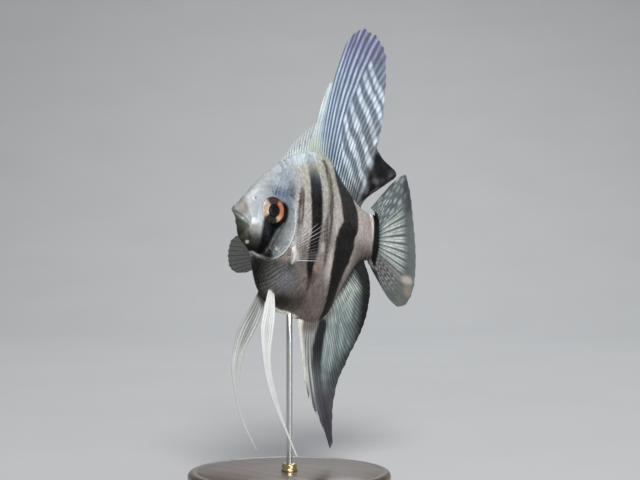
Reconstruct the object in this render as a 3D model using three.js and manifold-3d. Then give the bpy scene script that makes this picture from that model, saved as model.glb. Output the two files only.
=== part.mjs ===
// Freshwater angelfish (Pterophyllum scalare), life-size still model on a display stand.
// Millimetres, +Z up. The fish faces -X and its left side faces -Y.
// The origin is the centre of the underside of the stand's base.
//
// The fish is shaped in its own coordinates: x runs back from the tip of the snout,
// z up and y to the fish's right. One nested group then tips and lifts it on to the rod.

import * as THREE from 'three';
import { mergeVertices } from 'three/addons/utils/BufferGeometryUtils.js';
import Module from 'manifold-3d';

const wasm = await Module();
wasm.setup();

// ---------------------------------------------------------------- driving dimensions

const NOSE_UP = THREE.MathUtils.degToRad(10);
const SNOUT_HEIGHT = 121.4;

const BODY_START = -1.3;
const BODY_END = 87;
const BACK_LINE = [
  [-1.3, 1.0], [0.4, 2.3], [3.4, 6.1], [12, 16.2], [26, 27.8], [42, 33.7], [50, 32.4],
  [60, 24.3], [72, 15.7], [79, 13.0], [87, 12.9],
];
const BELLY_LINE = [
  [-1.3, -2.0], [2.1, -5.2], [3.1, -8.6], [4.4, -12.2], [9.2, -15.6], [14.2, -20.4],
  [15.8, -26.4], [19.0, -32.4], [26, -37.9], [31, -39.7], [36, -39.8], [43, -41.0],
  [53, -41.4], [60, -37.4], [66, -28], [72, -18], [76, -12], [80, -9], [87, -8.8],
];
const HALF_WIDTH = [
  [-1.3, 1.2], [0.3, 2.1], [3, 3.1], [9, 4.8], [16, 6.1], [24, 7.2], [33, 7.4],
  [44, 6.7], [56, 5.3], [68, 3.9], [78, 3.0], [87, 1.1],
];
const FULL_SECTION_AT = 45;
const BACK_ROUNDNESS = [1.1, 1.6];
const BELLY_ROUNDNESS = [0.96, 1.56];

const PART_GAP = 0.3;
const FIN_CLEARANCE = 0.4;
const FIN_ROOT_DEPTH = 1.4;
const FIN_EDGE = 0.5;

const EYE = { x: 16.1, y: 4.55, z: 1.9, radius: 6.4, depth: 2.6, turn: 10 };

const MOUTH_CORNER = [5.4, -5.6];
const GILL_INNER_FACE = 2.6;

const DORSAL = {
  rays: 37, firstFoot: 22.8, lastFoot: 73.5, rootThickness: 1.3, bow: -0.055, sway: 1.0,
  tips: [
    [1, 23.6, 27.0], [4, 27.4, 33.2], [8, 33.4, 39.8], [11, 39.2, 44.6], [12, 42.0, 51],
    [13, 43.6, 58.2], [14, 46.2, 65.6], [15, 49.2, 69], [16, 51.4, 77], [17, 53.8, 86.6],
    [18, 57.8, 91.9], [19.5, 62.6, 95.7], [21, 68, 95.4], [23, 74.5, 93.3], [25, 79.2, 86.8],
    [27, 80.4, 77.9], [29.5, 81.2, 69], [31.5, 81.4, 60.4], [32.7, 80.6, 53], [33.4, 81, 48.4],
    [34.2, 86.8, 42.2], [35, 95, 36.4], [36, 88.6, 29.6], [37, 78, 21.4],
  ],
};
const ANAL = {
  rays: 32, firstFoot: 43.8, lastFoot: 79, rootThickness: 1.3, bow: 0.05, sway: -1.0,
  tips: [
    [1, 45, -44.8], [2, 47.2, -49], [3, 49.6, -54], [4, 52.2, -59.6], [5, 55, -66],
    [6, 58, -72.4], [7, 61, -77.6], [8, 65, -82.8], [9, 69, -89.6], [10, 72.4, -94.6],
    [11, 74.4, -91.8], [12, 73.5, -85], [14, 71.9, -76], [16, 72.7, -66], [19, 78, -53],
    [22, 84.6, -41.5], [25, 88, -30], [28, 88.4, -20.5], [30, 86.2, -14.4], [32, 82.8, -9.8],
  ],
};
const CAUDAL = {
  rays: 22, rootThickness: 1.5, twist: [4.5, -5.0],
  tips: [
    [1, 86.4, 17.4], [2, 90.6, 22.6], [3, 95.6, 28.8], [4, 100.6, 34], [5, 104.8, 36],
    [6, 107.6, 33.6], [8, 110.8, 24.6], [10, 113.0, 14.4], [12, 114.4, 4], [14, 114.8, -5.6],
    [16, 113.6, -14.6], [17, 111.6, -20], [18, 108, -24.2], [19, 103.2, -24.8],
    [20, 97.4, -21.6], [21, 91.8, -16], [22, 88, -11.6],
  ],
};
const CAUDAL_FOOT = { x: 83.4, bulge: 2.6, top: 12.4, bottom: -8.3 };

const PECTORAL = {
  rootX: 29.4, rootY: 5.6, rootZ: -14.2, rootHeight: 6.6, rootThickness: 1.0, spread: 21,
  rayLengths: [15.5, 20, 23.2, 25.2, 26, 26.2, 26.2, 25.8, 25, 23.4, 20.6, 15],
};
const LEFT_PECTORAL_OUT = [0.82, -0.27, 0.5];
const RIGHT_PECTORAL_OUT = [-0.14, 0.985, -0.07];

const PELVIC = {
  rays: 4, lengthSteps: 18, rootThickness: 1.3,
  path: [
    [23.6, 2.4, -30.2], [22.6, 4.2, -40], [20.7, 6.2, -48.5], [19.9, 8.1, -56.5],
    [20.9, 9.7, -65.5], [25, 11.7, -77], [31.2, 13, -87.4], [41.2, 12.6, -99.6],
  ],
  widths: [3.4, 6.8, 7.4, 5.3, 4.2, 2.4, 1.4, 0.6],
};

const BASE = { radius: 44, height: 8, underEdge: 0.8, topEdge: 2.0 };
const ROD = { radius: 1.3, bellyX: 38.5 };
const COLLAR = { radius: 3.6, height: 3.2 };

// ---------------------------------------------------------------- materials

function finish(color, roughness, metalness = 0) {
  return new THREE.MeshStandardMaterial({ color, roughness, metalness, side: THREE.FrontSide });
}

const silverSkin = finish(0xb9b7ab, 0.35);
const lipSkin = finish(0xa79a92, 0.45);
const gillSkin = finish(0x9aa7ad, 0.3);
const eyeBall = finish(0xc9743c, 0.1);
const veiledFin = finish(0xa9b6c8, 0.45);
const clearFin = finish(0xc4cccb, 0.4);
const whiteFin = finish(0xe9ebe6, 0.45);
const turnedWood = finish(0x4a3526, 0.45);
const brightMetal = finish(0xb9b4a6, 0.28, 1);

// ---------------------------------------------------------------- curves

// A smooth curve through [x, value] points, as a function of x.
function smoothCurve(points) {
  const slopes = points.map((_, i) => {
    const before = points[Math.max(i - 1, 0)];
    const after = points[Math.min(i + 1, points.length - 1)];
    return (after[1] - before[1]) / (after[0] - before[0]);
  });
  return (x) => {
    let i = 0;
    while (i < points.length - 2 && x > points[i + 1][0]) i += 1;
    const span = points[i + 1][0] - points[i][0];
    const t = THREE.MathUtils.clamp((x - points[i][0]) / span, 0, 1);
    const rise = points[i + 1][1] - points[i][1];
    const a = slopes[i] * span - rise;
    const b = rise - slopes[i + 1] * span;
    return points[i][1] + rise * t + t * (1 - t) * (a * (1 - t) + b * t);
  };
}

const back = smoothCurve(BACK_LINE);
const belly = smoothCurve(BELLY_LINE);
const halfWidth = smoothCurve(HALF_WIDTH);

// The point on the body's skin at station x, at an angle round the section:
// 0 is the right side, a quarter turn is the back. A margin swells the whole body.
function bodyPoint(x, angle, margin) {
  const reach = THREE.MathUtils.clamp(x / FULL_SECTION_AT, 0, 1);
  const top = back(x) + margin;
  const bottom = belly(x) - margin;
  const up = Math.sin(angle);
  const out = Math.cos(angle);
  const range = up > 0 ? BACK_ROUNDNESS : BELLY_ROUNDNESS;
  const roundness = THREE.MathUtils.lerp(range[0], range[1], reach);
  const y = Math.sign(out) * Math.abs(out) ** roundness * (halfWidth(x) + margin);
  return new THREE.Vector3(x, y, (top + bottom) / 2 + up * (top - bottom) / 2);
}

// ---------------------------------------------------------------- closed meshes

function closedGeometry(positions, triangles) {
  const geometry = new THREE.BufferGeometry();
  geometry.setAttribute('position', new THREE.Float32BufferAttribute(positions, 3));
  geometry.setIndex(triangles);
  return geometry;
}

// Joins equal rings of points into one closed tube with a fan at each end.
function loft(rings) {
  const around = rings[0].length;
  const points = rings.flat();
  const triangles = [];
  for (let i = 0; i < rings.length - 1; i += 1) {
    for (let j = 0; j < around; j += 1) {
      const a = i * around + j;
      const b = i * around + (j + 1) % around;
      triangles.push(a, b, a + around, b, b + around, a + around);
    }
  }
  for (const [ring, turned] of [[0, true], [rings.length - 1, false]]) {
    const centre = new THREE.Vector3();
    rings[ring].forEach((point) => centre.addScaledVector(point, 1 / around));
    const hub = points.push(centre) - 1;
    for (let j = 0; j < around; j += 1) {
      const a = ring * around + j;
      const b = ring * around + (j + 1) % around;
      triangles.push(...(turned ? [b, a, hub] : [a, b, hub]));
    }
  }
  return closedGeometry(points.flatMap((point) => point.toArray()), triangles);
}

// Gives a grid of points a thickness and closes it all round.
function thickSheet(grid, thicknessAt) {
  const rows = grid.length;
  const columns = grid[0].length;
  const faces = [[], []];
  for (let i = 0; i < rows; i += 1) {
    for (let j = 0; j < columns; j += 1) {
      const along = grid[Math.min(i + 1, rows - 1)][j].clone().sub(grid[Math.max(i - 1, 0)][j]);
      const across = grid[i][Math.min(j + 1, columns - 1)].clone()
        .sub(grid[i][Math.max(j - 1, 0)]);
      const offset = along.cross(across).normalize().multiplyScalar(thicknessAt(i, j) / 2);
      faces[0].push(grid[i][j].clone().add(offset));
      faces[1].push(grid[i][j].clone().sub(offset));
    }
  }
  const triangles = [];
  const under = rows * columns;
  for (let i = 0; i < rows - 1; i += 1) {
    for (let j = 0; j < columns - 1; j += 1) {
      const a = i * columns + j;
      const b = a + columns;
      triangles.push(a, b, a + 1, b, b + 1, a + 1);
      triangles.push(a + under, a + 1 + under, b + under);
      triangles.push(b + under, a + 1 + under, b + 1 + under);
    }
  }
  const rim = [];
  for (let j = 0; j < columns - 1; j += 1) rim.push(j);
  for (let i = 0; i < rows - 1; i += 1) rim.push(i * columns + columns - 1);
  for (let j = columns - 1; j > 0; j -= 1) rim.push((rows - 1) * columns + j);
  for (let i = rows - 1; i > 0; i -= 1) rim.push(i * columns);
  rim.forEach((a, k) => {
    const b = rim[(k + 1) % rim.length];
    triangles.push(a, b, a + under, b, b + under, a + under);
  });
  const points = [...faces[0], ...faces[1]];
  return closedGeometry(points.flatMap((point) => point.toArray()), triangles);
}

function outward(geometry) {
  const position = geometry.attributes.position;
  const index = geometry.index.array;
  const [a, b, c] = [new THREE.Vector3(), new THREE.Vector3(), new THREE.Vector3()];
  let volume = 0;
  for (let k = 0; k < index.length; k += 3) {
    a.fromBufferAttribute(position, index[k]);
    b.fromBufferAttribute(position, index[k + 1]);
    c.fromBufferAttribute(position, index[k + 2]);
    volume += a.dot(b.cross(c));
  }
  if (volume < 0) geometry.setIndex(Array.from(index).reverse());
  return geometry;
}

function solid(geometry) {
  geometry.deleteAttribute('normal');
  geometry.deleteAttribute('uv');
  const merged = outward(mergeVertices(geometry, 1e-4));
  return new wasm.Manifold(new wasm.Mesh({
    numProp: 3,
    vertProperties: new Float32Array(merged.attributes.position.array),
    triVerts: new Uint32Array(merged.index.array),
  }));
}

function geometryOf(manifold) {
  const mesh = manifold.getMesh();
  return closedGeometry(Array.from(mesh.vertProperties), Array.from(mesh.triVerts));
}

// A block that cuts through the body from side to side between two y values.
function blockThrough(outline, fromY, toY) {
  const shape = new THREE.Shape(outline.map(([x, z]) => new THREE.Vector2(x, z)));
  const block = new THREE.ExtrudeGeometry(shape, { depth: toY - fromY, bevelEnabled: false });
  block.rotateX(Math.PI / 2);
  block.translate(0, toY, 0);
  return solid(block);
}

// Moves every side of a closed outline outwards by the same distance.
function grown(outline, distance) {
  const count = outline.length;
  const turn = Math.sign(THREE.ShapeUtils.area(outline.map(([x, y]) => ({ x, y }))));
  const sides = outline.map(([x, z], i) => {
    const [nextX, nextZ] = outline[(i + 1) % count];
    const length = Math.hypot(nextX - x, nextZ - z);
    return [(nextZ - z) / length * turn, (x - nextX) / length * turn];
  });
  return outline.map(([x, z], i) => {
    const [ax, az] = sides[(i + count - 1) % count];
    const [bx, bz] = sides[i];
    const stretch = distance / Math.max(1 + ax * bx + az * bz, 0.4);
    return [x + (ax + bx) * stretch, z + (az + bz) * stretch];
  });
}

// ---------------------------------------------------------------- the body

const BODY_STATIONS = 32;
const BODY_AROUND = 24;
const BODY_CROWDING = 1.4;

function bodyShell(margin) {
  const rings = [];
  for (let i = 0; i <= BODY_STATIONS; i += 1) {
    const share = (i / BODY_STATIONS) ** BODY_CROWDING;
    const x = THREE.MathUtils.lerp(BODY_START - margin, BODY_END + margin, share);
    const ring = [];
    for (let j = 0; j < BODY_AROUND; j += 1) {
      const angle = j / BODY_AROUND * 2 * Math.PI;
      const station = THREE.MathUtils.clamp(x, BODY_START, BODY_END);
      const point = bodyPoint(station, angle, margin);
      ring.push(point.setX(x));
    }
    rings.push(ring);
  }
  return loft(rings);
}

const BEYOND = 60;
const GILL_EDGE = [
  [28.4, 6.6], [30.2, 2.6], [30.4, -1.6], [29.3, -5.8], [27.4, -9.0], [24.8, -13.2],
  [21.4, -16.6], [18.2, -18.3], [13.0, -18.8],
];
const CHEEK_LINE = [[13.6, -17.2], [15.8, -15.6], [16.2, -13.2], [18.2, -8.6], [20.8, -4.4]];
const TEMPLE_LINE = [[23.4, -0.8], [23.8, 3.4], [25.4, 6.4]];

const headOutline = [
  [-BEYOND, BEYOND], [19.6, BEYOND], [21.8, 24.6], [25.6, 12.0], ...GILL_EDGE,
  [7.2, -18.4], [-BEYOND, -18.2],
];
const gillOutline = [...TEMPLE_LINE, ...GILL_EDGE, ...CHEEK_LINE];
const upperJawOutline = [
  [-5, 6.0], [2.4, 6.0], [4.6, 1.4], [6.8, -2.6], [6.9, -5.0], MOUTH_CORNER, [2.6, -2.5],
  [0.2, -1.0], [-5, -0.8],
];
const lowerJawOutline = [
  [-5, -1.1], [0.2, -1.3], [2.6, -2.8], MOUTH_CORNER, [6.6, -9.0], [7.8, -15.4], [-5, -15.8],
];
const tailOutline = [[74.0, BEYOND], [77.4, -BEYOND], [BEYOND * 2, -BEYOND], [BEYOND * 2, BEYOND]];

const wholeBody = solid(bodyShell(0));
const clearOfBody = solid(bodyShell(FIN_CLEARANCE));

function eyeSolid(side, margin) {
  const ball = new THREE.SphereGeometry(1, 20, 10);
  ball.rotateX(Math.PI / 2);
  ball.scale(EYE.radius + margin, EYE.depth + margin, EYE.radius + margin);
  ball.rotateZ(THREE.MathUtils.degToRad(EYE.turn) * side);
  ball.translate(EYE.x, side * EYE.y, EYE.z);
  return solid(ball);
}

const sides = [['left', -1], ['right', 1]];

function gillBlock(side, margin) {
  const inner = side * (GILL_INNER_FACE - margin);
  const outer = side * BEYOND;
  const outline = grown(gillOutline, margin);
  return blockThrough(outline, Math.min(inner, outer), Math.max(inner, outer));
}

function through(outline, margin) {
  return blockThrough(margin ? grown(outline, margin) : outline, -BEYOND, BEYOND);
}

function makeHead() {
  let head = wholeBody.intersect(through(headOutline, -PART_GAP / 2));
  head = head.subtract(through(upperJawOutline, PART_GAP / 2));
  head = head.subtract(through(lowerJawOutline, PART_GAP / 2));
  for (const [, side] of sides) {
    head = head.subtract(gillBlock(side, PART_GAP));
    head = head.subtract(eyeSolid(side, PART_GAP));
  }
  return head;
}

function makeGillCover(side) {
  const withinHead = through(headOutline, -PART_GAP / 2);
  return wholeBody.intersect(gillBlock(side, 0)).intersect(withinHead);
}

function makeJaw(outline) {
  return wholeBody.intersect(through(outline, -PART_GAP / 2));
}

function makeTrunk() {
  return wholeBody.subtract(through(headOutline, PART_GAP / 2))
    .subtract(through(tailOutline, PART_GAP / 2));
}

function makeTailBase() {
  return wholeBody.intersect(through(tailOutline, -PART_GAP / 2));
}

// ---------------------------------------------------------------- the fins

const RAY_STEPS = 5;

// The tip of any ray, by its number, on a smooth margin through the given tips.
function marginOf(tips) {
  const tipX = smoothCurve(tips.map(([ray, x]) => [ray, x]));
  const tipZ = smoothCurve(tips.map(([ray, , z]) => [ray, z]));
  return (ray) => new THREE.Vector3(tipX(ray), 0, tipZ(ray));
}

// A fan of rays in the middle plane, from a row of feet to a margin. Each ray bows a
// little along its length, and the fin sways from side to side.
function rayFan({ rays, tips, bow = 0 }, footAt, swayAt) {
  const tipAt = marginOf(tips);
  const grid = [];
  for (let ray = 1; ray <= rays; ray += 1) {
    const share = (ray - 1) / (rays - 1);
    const foot = footAt(share);
    const span = tipAt(ray).sub(foot);
    const row = [];
    for (let j = 0; j <= RAY_STEPS; j += 1) {
      const v = j / RAY_STEPS;
      const lean = 4 * v * (1 - v) * bow;
      row.push(new THREE.Vector3(
        foot.x + span.x * v + span.z * lean,
        swayAt(share, v),
        foot.z + span.z * v - span.x * lean,
      ));
    }
    grid.push(row);
  }
  return grid;
}

function finSolid(grid, rootThickness) {
  const last = grid[0].length - 1;
  const taper = (i, j) => THREE.MathUtils.lerp(rootThickness, FIN_EDGE, (j / last) ** 0.7);
  return solid(thickSheet(grid, taper)).subtract(clearOfBody);
}

function makeDorsalFin() {
  const footAt = (share) => {
    const x = THREE.MathUtils.lerp(DORSAL.firstFoot, DORSAL.lastFoot, share);
    return new THREE.Vector3(x, 0, back(x) - FIN_ROOT_DEPTH);
  };
  const sway = (share, v) => DORSAL.sway * Math.sin(Math.PI * share * 1.5) * v * v;
  return finSolid(rayFan(DORSAL, footAt, sway), DORSAL.rootThickness);
}

function makeAnalFin() {
  const footAt = (share) => {
    const x = THREE.MathUtils.lerp(ANAL.firstFoot, ANAL.lastFoot, share);
    return new THREE.Vector3(x, 0, belly(x) + FIN_ROOT_DEPTH);
  };
  const sway = (share, v) => ANAL.sway * Math.sin(Math.PI * share * 1.5) * v * v;
  return finSolid(rayFan(ANAL, footAt, sway), ANAL.rootThickness);
}

function makeCaudalFin() {
  const footAt = (share) => new THREE.Vector3(
    CAUDAL_FOOT.x + CAUDAL_FOOT.bulge * Math.sin(Math.PI * share),
    0,
    THREE.MathUtils.lerp(CAUDAL_FOOT.top, CAUDAL_FOOT.bottom, share),
  );
  const sway = (share, v) => THREE.MathUtils.lerp(...CAUDAL.twist, share) * v * v;
  return finSolid(rayFan(CAUDAL, footAt, sway), CAUDAL.rootThickness);
}

// The paired fan behind the gill cover, spread about the direction it points in.
function makePectoralFin(side, out) {
  const outward3 = new THREE.Vector3(...out).normalize();
  const up = new THREE.Vector3(0, 0, 1).addScaledVector(outward3, -outward3.z).normalize();
  const spread = THREE.MathUtils.degToRad(PECTORAL.spread);
  const grid = PECTORAL.rayLengths.map((length, ray) => {
    const share = ray / (PECTORAL.rayLengths.length - 1);
    const angle = THREE.MathUtils.lerp(spread, -spread, share);
    const foot = new THREE.Vector3(PECTORAL.rootX, side * PECTORAL.rootY, PECTORAL.rootZ);
    foot.addScaledVector(up, (0.5 - share) * PECTORAL.rootHeight);
    const row = [];
    for (let j = 0; j <= RAY_STEPS; j += 1) {
      const reach = length * j / RAY_STEPS;
      row.push(foot.clone()
        .addScaledVector(outward3, Math.cos(angle) * reach)
        .addScaledVector(up, Math.sin(angle) * reach));
    }
    return row;
  });
  return finSolid(grid, PECTORAL.rootThickness);
}

// The long feeler-like belly fin: a narrow blade of few rays that draws out to a thread.
function makePelvicFin(side) {
  const path = new THREE.CatmullRomCurve3(
    PELVIC.path.map(([x, y, z]) => new THREE.Vector3(x, side * y, z)),
    false,
    'centripetal',
  );
  const widthAt = smoothCurve(PELVIC.widths.map((width, i) => [i, width]));
  const grid = [];
  for (let i = 0; i < PELVIC.rays; i += 1) {
    const across = i / (PELVIC.rays - 1) - 0.5;
    const row = [];
    for (let j = 0; j <= PELVIC.lengthSteps; j += 1) {
      const t = j / PELVIC.lengthSteps;
      const tangent = path.getTangent(t);
      const broad = new THREE.Vector3(0, side, 0).cross(tangent).normalize();
      const width = widthAt(t * (PELVIC.widths.length - 1));
      row.push(path.getPoint(t).addScaledVector(broad, across * width));
    }
    grid.push(row);
  }
  return finSolid(grid, PELVIC.rootThickness);
}

// ---------------------------------------------------------------- the stand

// A turned shape: the profile runs up the outside from the axis and back to it.
function turned(profile, segments) {
  return new THREE.LatheGeometry(
    profile.map(([radius, height]) => new THREE.Vector2(radius, height)),
    segments,
  ).rotateX(Math.PI / 2);
}

function makeBase() {
  const { radius, height, underEdge, topEdge } = BASE;
  const profile = [[0, 0], [radius - underEdge, 0], [radius, underEdge]];
  for (let k = 0; k <= 3; k += 1) {
    const angle = k / 3 * Math.PI / 2;
    profile.push([
      radius - topEdge * (1 - Math.cos(angle)),
      height - topEdge * (1 - Math.sin(angle)),
    ]);
  }
  profile.push([0, height]);
  return solid(turned(profile, 44));
}

function makeCollar() {
  const bore = ROD.radius + PART_GAP;
  const foot = BASE.height + 0.02;
  const top = foot + COLLAR.height;
  const profile = [
    [bore, foot], [COLLAR.radius, foot], [COLLAR.radius, top - 1.4], [bore + 0.9, top],
    [bore, top], [bore, foot],
  ];
  return solid(turned(profile, 20));
}

function makeRod(fishPlace) {
  const bellyPoint = new THREE.Vector3(ROD.bellyX, 0, belly(ROD.bellyX)).applyMatrix4(fishPlace);
  const foot = BASE.height + 0.02;
  const top = bellyPoint.z + 2 * ROD.radius;
  const rod = new THREE.CylinderGeometry(ROD.radius, ROD.radius, top - foot, 24);
  rod.rotateX(Math.PI / 2);
  rod.translate(0, 0, (top + foot) / 2);
  const keepOff = bodyShell(FIN_CLEARANCE).applyMatrix4(fishPlace);
  return solid(rod).subtract(solid(keepOff));
}

// ---------------------------------------------------------------- assembly

const fish = new THREE.Group();
fish.rotation.y = NOSE_UP;
const rodTop = new THREE.Vector3(ROD.bellyX, 0, belly(ROD.bellyX));
rodTop.applyAxisAngle(new THREE.Vector3(0, 1, 0), NOSE_UP);
fish.position.set(-rodTop.x, 0, SNOUT_HEIGHT);
fish.updateMatrixWorld(true);

const group = new THREE.Group();
group.add(fish);

function place(parent, name, manifold, material) {
  const mesh = new THREE.Mesh(geometryOf(manifold), material);
  mesh.name = name;
  parent.add(mesh);
}

place(fish, 'head', makeHead(), silverSkin);
place(fish, 'upper_jaw', makeJaw(upperJawOutline), lipSkin);
place(fish, 'lower_jaw', makeJaw(lowerJawOutline), lipSkin);
place(fish, 'trunk', makeTrunk(), silverSkin);
place(fish, 'tail_base', makeTailBase(), silverSkin);
for (const [word, side] of sides) {
  place(fish, `eye_${word}`, eyeSolid(side, 0), eyeBall);
  place(fish, `gill_cover_${word}`, makeGillCover(side), gillSkin);
  place(fish, `pelvic_fin_${word}`, makePelvicFin(side), whiteFin);
}
place(fish, 'dorsal_fin', makeDorsalFin(), veiledFin);
place(fish, 'anal_fin', makeAnalFin(), veiledFin);
place(fish, 'caudal_fin', makeCaudalFin(), clearFin);
place(fish, 'pectoral_fin_left', makePectoralFin(-1, LEFT_PECTORAL_OUT), clearFin);
place(fish, 'pectoral_fin_right', makePectoralFin(1, RIGHT_PECTORAL_OUT), clearFin);

place(group, 'stand_base', makeBase(), turnedWood);
place(group, 'stand_collar', makeCollar(), brightMetal);
place(group, 'stand_rod', makeRod(fish.matrixWorld), brightMetal);

export default group;
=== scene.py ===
# %% [markdown]
# # A freshwater angelfish, still on its stand
# The imported model gives fixed solids: a body in seven pieces, two eyes, seven fins and a stand.
# Everything made here is laid over those solids in the same space, in metres, so nothing is
# fitted by eye.

# %% Load the frame
from math import cos, pi, radians, sin, sqrt

import bpy
import numpy as np
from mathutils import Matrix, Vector


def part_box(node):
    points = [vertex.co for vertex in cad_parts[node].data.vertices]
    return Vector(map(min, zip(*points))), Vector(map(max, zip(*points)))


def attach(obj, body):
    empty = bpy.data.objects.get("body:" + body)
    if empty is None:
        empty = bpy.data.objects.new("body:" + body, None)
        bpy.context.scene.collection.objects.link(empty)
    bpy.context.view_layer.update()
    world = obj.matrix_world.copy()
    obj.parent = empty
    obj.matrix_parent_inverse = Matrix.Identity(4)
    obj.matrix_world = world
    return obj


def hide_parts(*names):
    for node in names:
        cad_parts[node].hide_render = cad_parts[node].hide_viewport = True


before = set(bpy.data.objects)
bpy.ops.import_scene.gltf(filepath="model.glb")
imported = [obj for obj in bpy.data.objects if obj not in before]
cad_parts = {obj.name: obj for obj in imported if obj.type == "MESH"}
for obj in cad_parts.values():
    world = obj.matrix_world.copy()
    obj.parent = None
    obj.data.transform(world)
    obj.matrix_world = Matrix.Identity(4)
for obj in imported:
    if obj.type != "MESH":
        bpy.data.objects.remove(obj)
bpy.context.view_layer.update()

# %% [markdown]
# ## The fish's own space
# A fish is easiest to shape lying level, in millimetres: x runs back from the snout, z up, and
# y to its right. The real model is tipped ten degrees nose up on its rod. The two eye solids
# give the place: the middle of their boxes is a known point of the fish.

# %% Fish space to world space
NOSE_UP = radians(10)
EYE = {"x": 16.1, "y": 4.55, "z": 1.9, "radius": 6.4, "depth": 2.6, "turn": radians(10)}
TIPPED = np.array([[cos(NOSE_UP), 0, sin(NOSE_UP)], [0, 1, 0], [-sin(NOSE_UP), 0, cos(NOSE_UP)]])
eye_corners = [corner for word in ("left", "right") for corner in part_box("eye_" + word)]
eye_middle = np.array([tuple(corner) for corner in eye_corners]).mean(axis=0) * 1000
fish_origin = eye_middle - TIPPED @ np.array([EYE["x"], 0, EYE["z"]])


def unit(vectors):
    """The same directions, each of length one."""
    return vectors / np.maximum(np.linalg.norm(vectors, axis=-1, keepdims=True), 1e-9)


def to_world(points):
    return (np.asarray(points, float) @ TIPPED.T + fish_origin) / 1000


SIDES = (("left", -1), ("right", 1))
print("snout at", np.round(fish_origin, 2), "mm")

# %% [markdown]
# ## Camera
# A level portrait lens stands 45 degrees off the nose on the fish's left, far enough away that
# the nearer fins don't swell against the farther ones.

# %% Camera
CAMERA_AZIMUTH = radians(-45)
CAMERA_DISTANCE = 0.65
aim = Vector((fish_origin[0] / 1000 + 0.0497, 0, 0.108))
towards_camera = Vector((sin(CAMERA_AZIMUTH), -cos(CAMERA_AZIMUTH), 0))
camera_data = bpy.data.cameras.new("camera")
camera_data.sensor_width = 36
camera_data.lens = 82.6
camera_data.clip_start = 0.05
camera = bpy.data.objects.new("camera", camera_data)
camera.location = aim + towards_camera * CAMERA_DISTANCE
camera.rotation_euler = (-towards_camera).to_track_quat("-Z", "Y").to_euler()
bpy.context.collection.objects.link(camera)
bpy.context.scene.camera = camera
bpy.context.scene.view_settings.view_transform = "Standard"
print("camera at", tuple(round(c, 3) for c in camera.location))

# %% [markdown]
# ## Small helpers
# The same few steps come back for every piece: a node with its inputs, a mesh from points and
# faces, a number or a colour stored at each point, a shader with its plain values. Each is written
# once here, so the cells below can speak of the fish.


# %% Small helpers for nodes and meshes
def node(tree, kind, inputs=None, **settings):
    """Adds a node. An input is a plain value, a socket, or a node whose first output it is."""
    made = tree.nodes.new(kind)
    for key, value in settings.items():
        setattr(made, key, value)
    for key, value in (inputs or {}).items():
        if isinstance(value, bpy.types.Node):
            value = value.outputs[0]
        if isinstance(value, bpy.types.NodeSocket):
            tree.links.new(value, made.inputs[key])
        else:
            made.inputs[key].default_value = value
    return made


def maths(tree, operation, *values):
    return node(tree, "ShaderNodeMath", dict(enumerate(values)), operation=operation)


def scaled(tree, vector, factor):
    return node(tree, "ShaderNodeVectorMath", {0: vector, "Scale": factor}, operation="SCALE")


def mesh_from(name, points, faces):
    mesh = bpy.data.meshes.new(name)
    mesh.from_pydata(points, [], faces)
    mesh.polygons.foreach_set("use_smooth", [True] * len(mesh.polygons))
    mesh.update()
    return mesh


def object_from(mesh, material=None):
    made = bpy.data.objects.new(mesh.name, mesh)
    bpy.context.collection.objects.link(made)
    if material is not None:
        mesh.materials.clear()
        mesh.materials.append(material)
    return made


def store(mesh, name, values, kind="FLOAT", field="value"):
    """Stores a number, a vector or a colour at each point of the mesh."""
    mesh.attributes.new(name, kind, "POINT").data.foreach_set(field, np.ravel(values))


def store_vector(mesh, name, values):
    store(mesh, name, values, "FLOAT_VECTOR", "vector")


def store_paint(mesh, colours, opacity=1.0):
    alpha = np.broadcast_to(opacity, len(colours))
    store(mesh, "paint", np.column_stack([colours, alpha]), "FLOAT_COLOR", "color")


def stored_number(mesh, name):
    values = np.zeros(len(mesh.vertices))
    mesh.attributes[name].data.foreach_get("value", values)
    return values


def in_fish_space(mesh):
    """The points of a finished mesh, brought back from the world to the fish's own space."""
    spots = np.zeros(len(mesh.vertices) * 3)
    mesh.vertices.foreach_get("co", spots)
    return (spots.reshape(-1, 3) * 1000 - fish_origin) @ TIPPED


def principled(name, values):
    material = bpy.data.materials.new(name)
    material.use_nodes = True
    shader = material.node_tree.nodes["Principled BSDF"]
    for key, value in values.items():
        shader.inputs[key].default_value = value
    return material, material.node_tree, shader


def vary_paint(tree, shader, noise, span, levels):
    """Feeds the stored paint to the shader, darker or lighter where a noise is low or high."""
    paint = node(tree, "ShaderNodeAttribute", attribute_name="paint")
    level = node(tree, "ShaderNodeMapRange", {
        "Value": noise, "From Min": span[0], "From Max": span[1],
        "To Min": levels[0], "To Max": levels[1],
    })
    varied = scaled(tree, paint.outputs["Color"], level)
    tree.links.new(varied.outputs[0], shader.inputs["Base Color"])
    return paint


def raise_by(tree, shader, height, strength, distance):
    """Bump: the surface seems raised where the height value is high."""
    raised = node(tree, "ShaderNodeBump",
                  {"Strength": strength, "Distance": distance, "Height": height})
    tree.links.new(raised.outputs[0], shader.inputs["Normal"])
    return raised


print("helpers ready, from", node.__name__, "to", raise_by.__name__)

# %% [markdown]
# ## Floor and light
# The model stands on a pale floor, one sheet that curves up into the backdrop, so no horizon
# line crosses the fins. A large soft key stands high on the left, as over a display case, with a
# weak fill and a rim from behind.

# %% Floor, backdrop and lights
floor_material, tree, shader = principled("pale_floor", {"Roughness": 0.85})
grain = node(tree, "ShaderNodeTexNoise", {"Scale": 60.0, "Detail": 3.0})
tint = node(tree, "ShaderNodeMix", {
    0: grain, 6: (0.395, 0.4, 0.405, 1), 7: (0.43, 0.435, 0.44, 1),
}, data_type="RGBA")
tree.links.new(tint.outputs[2], shader.inputs["Base Color"])

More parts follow.
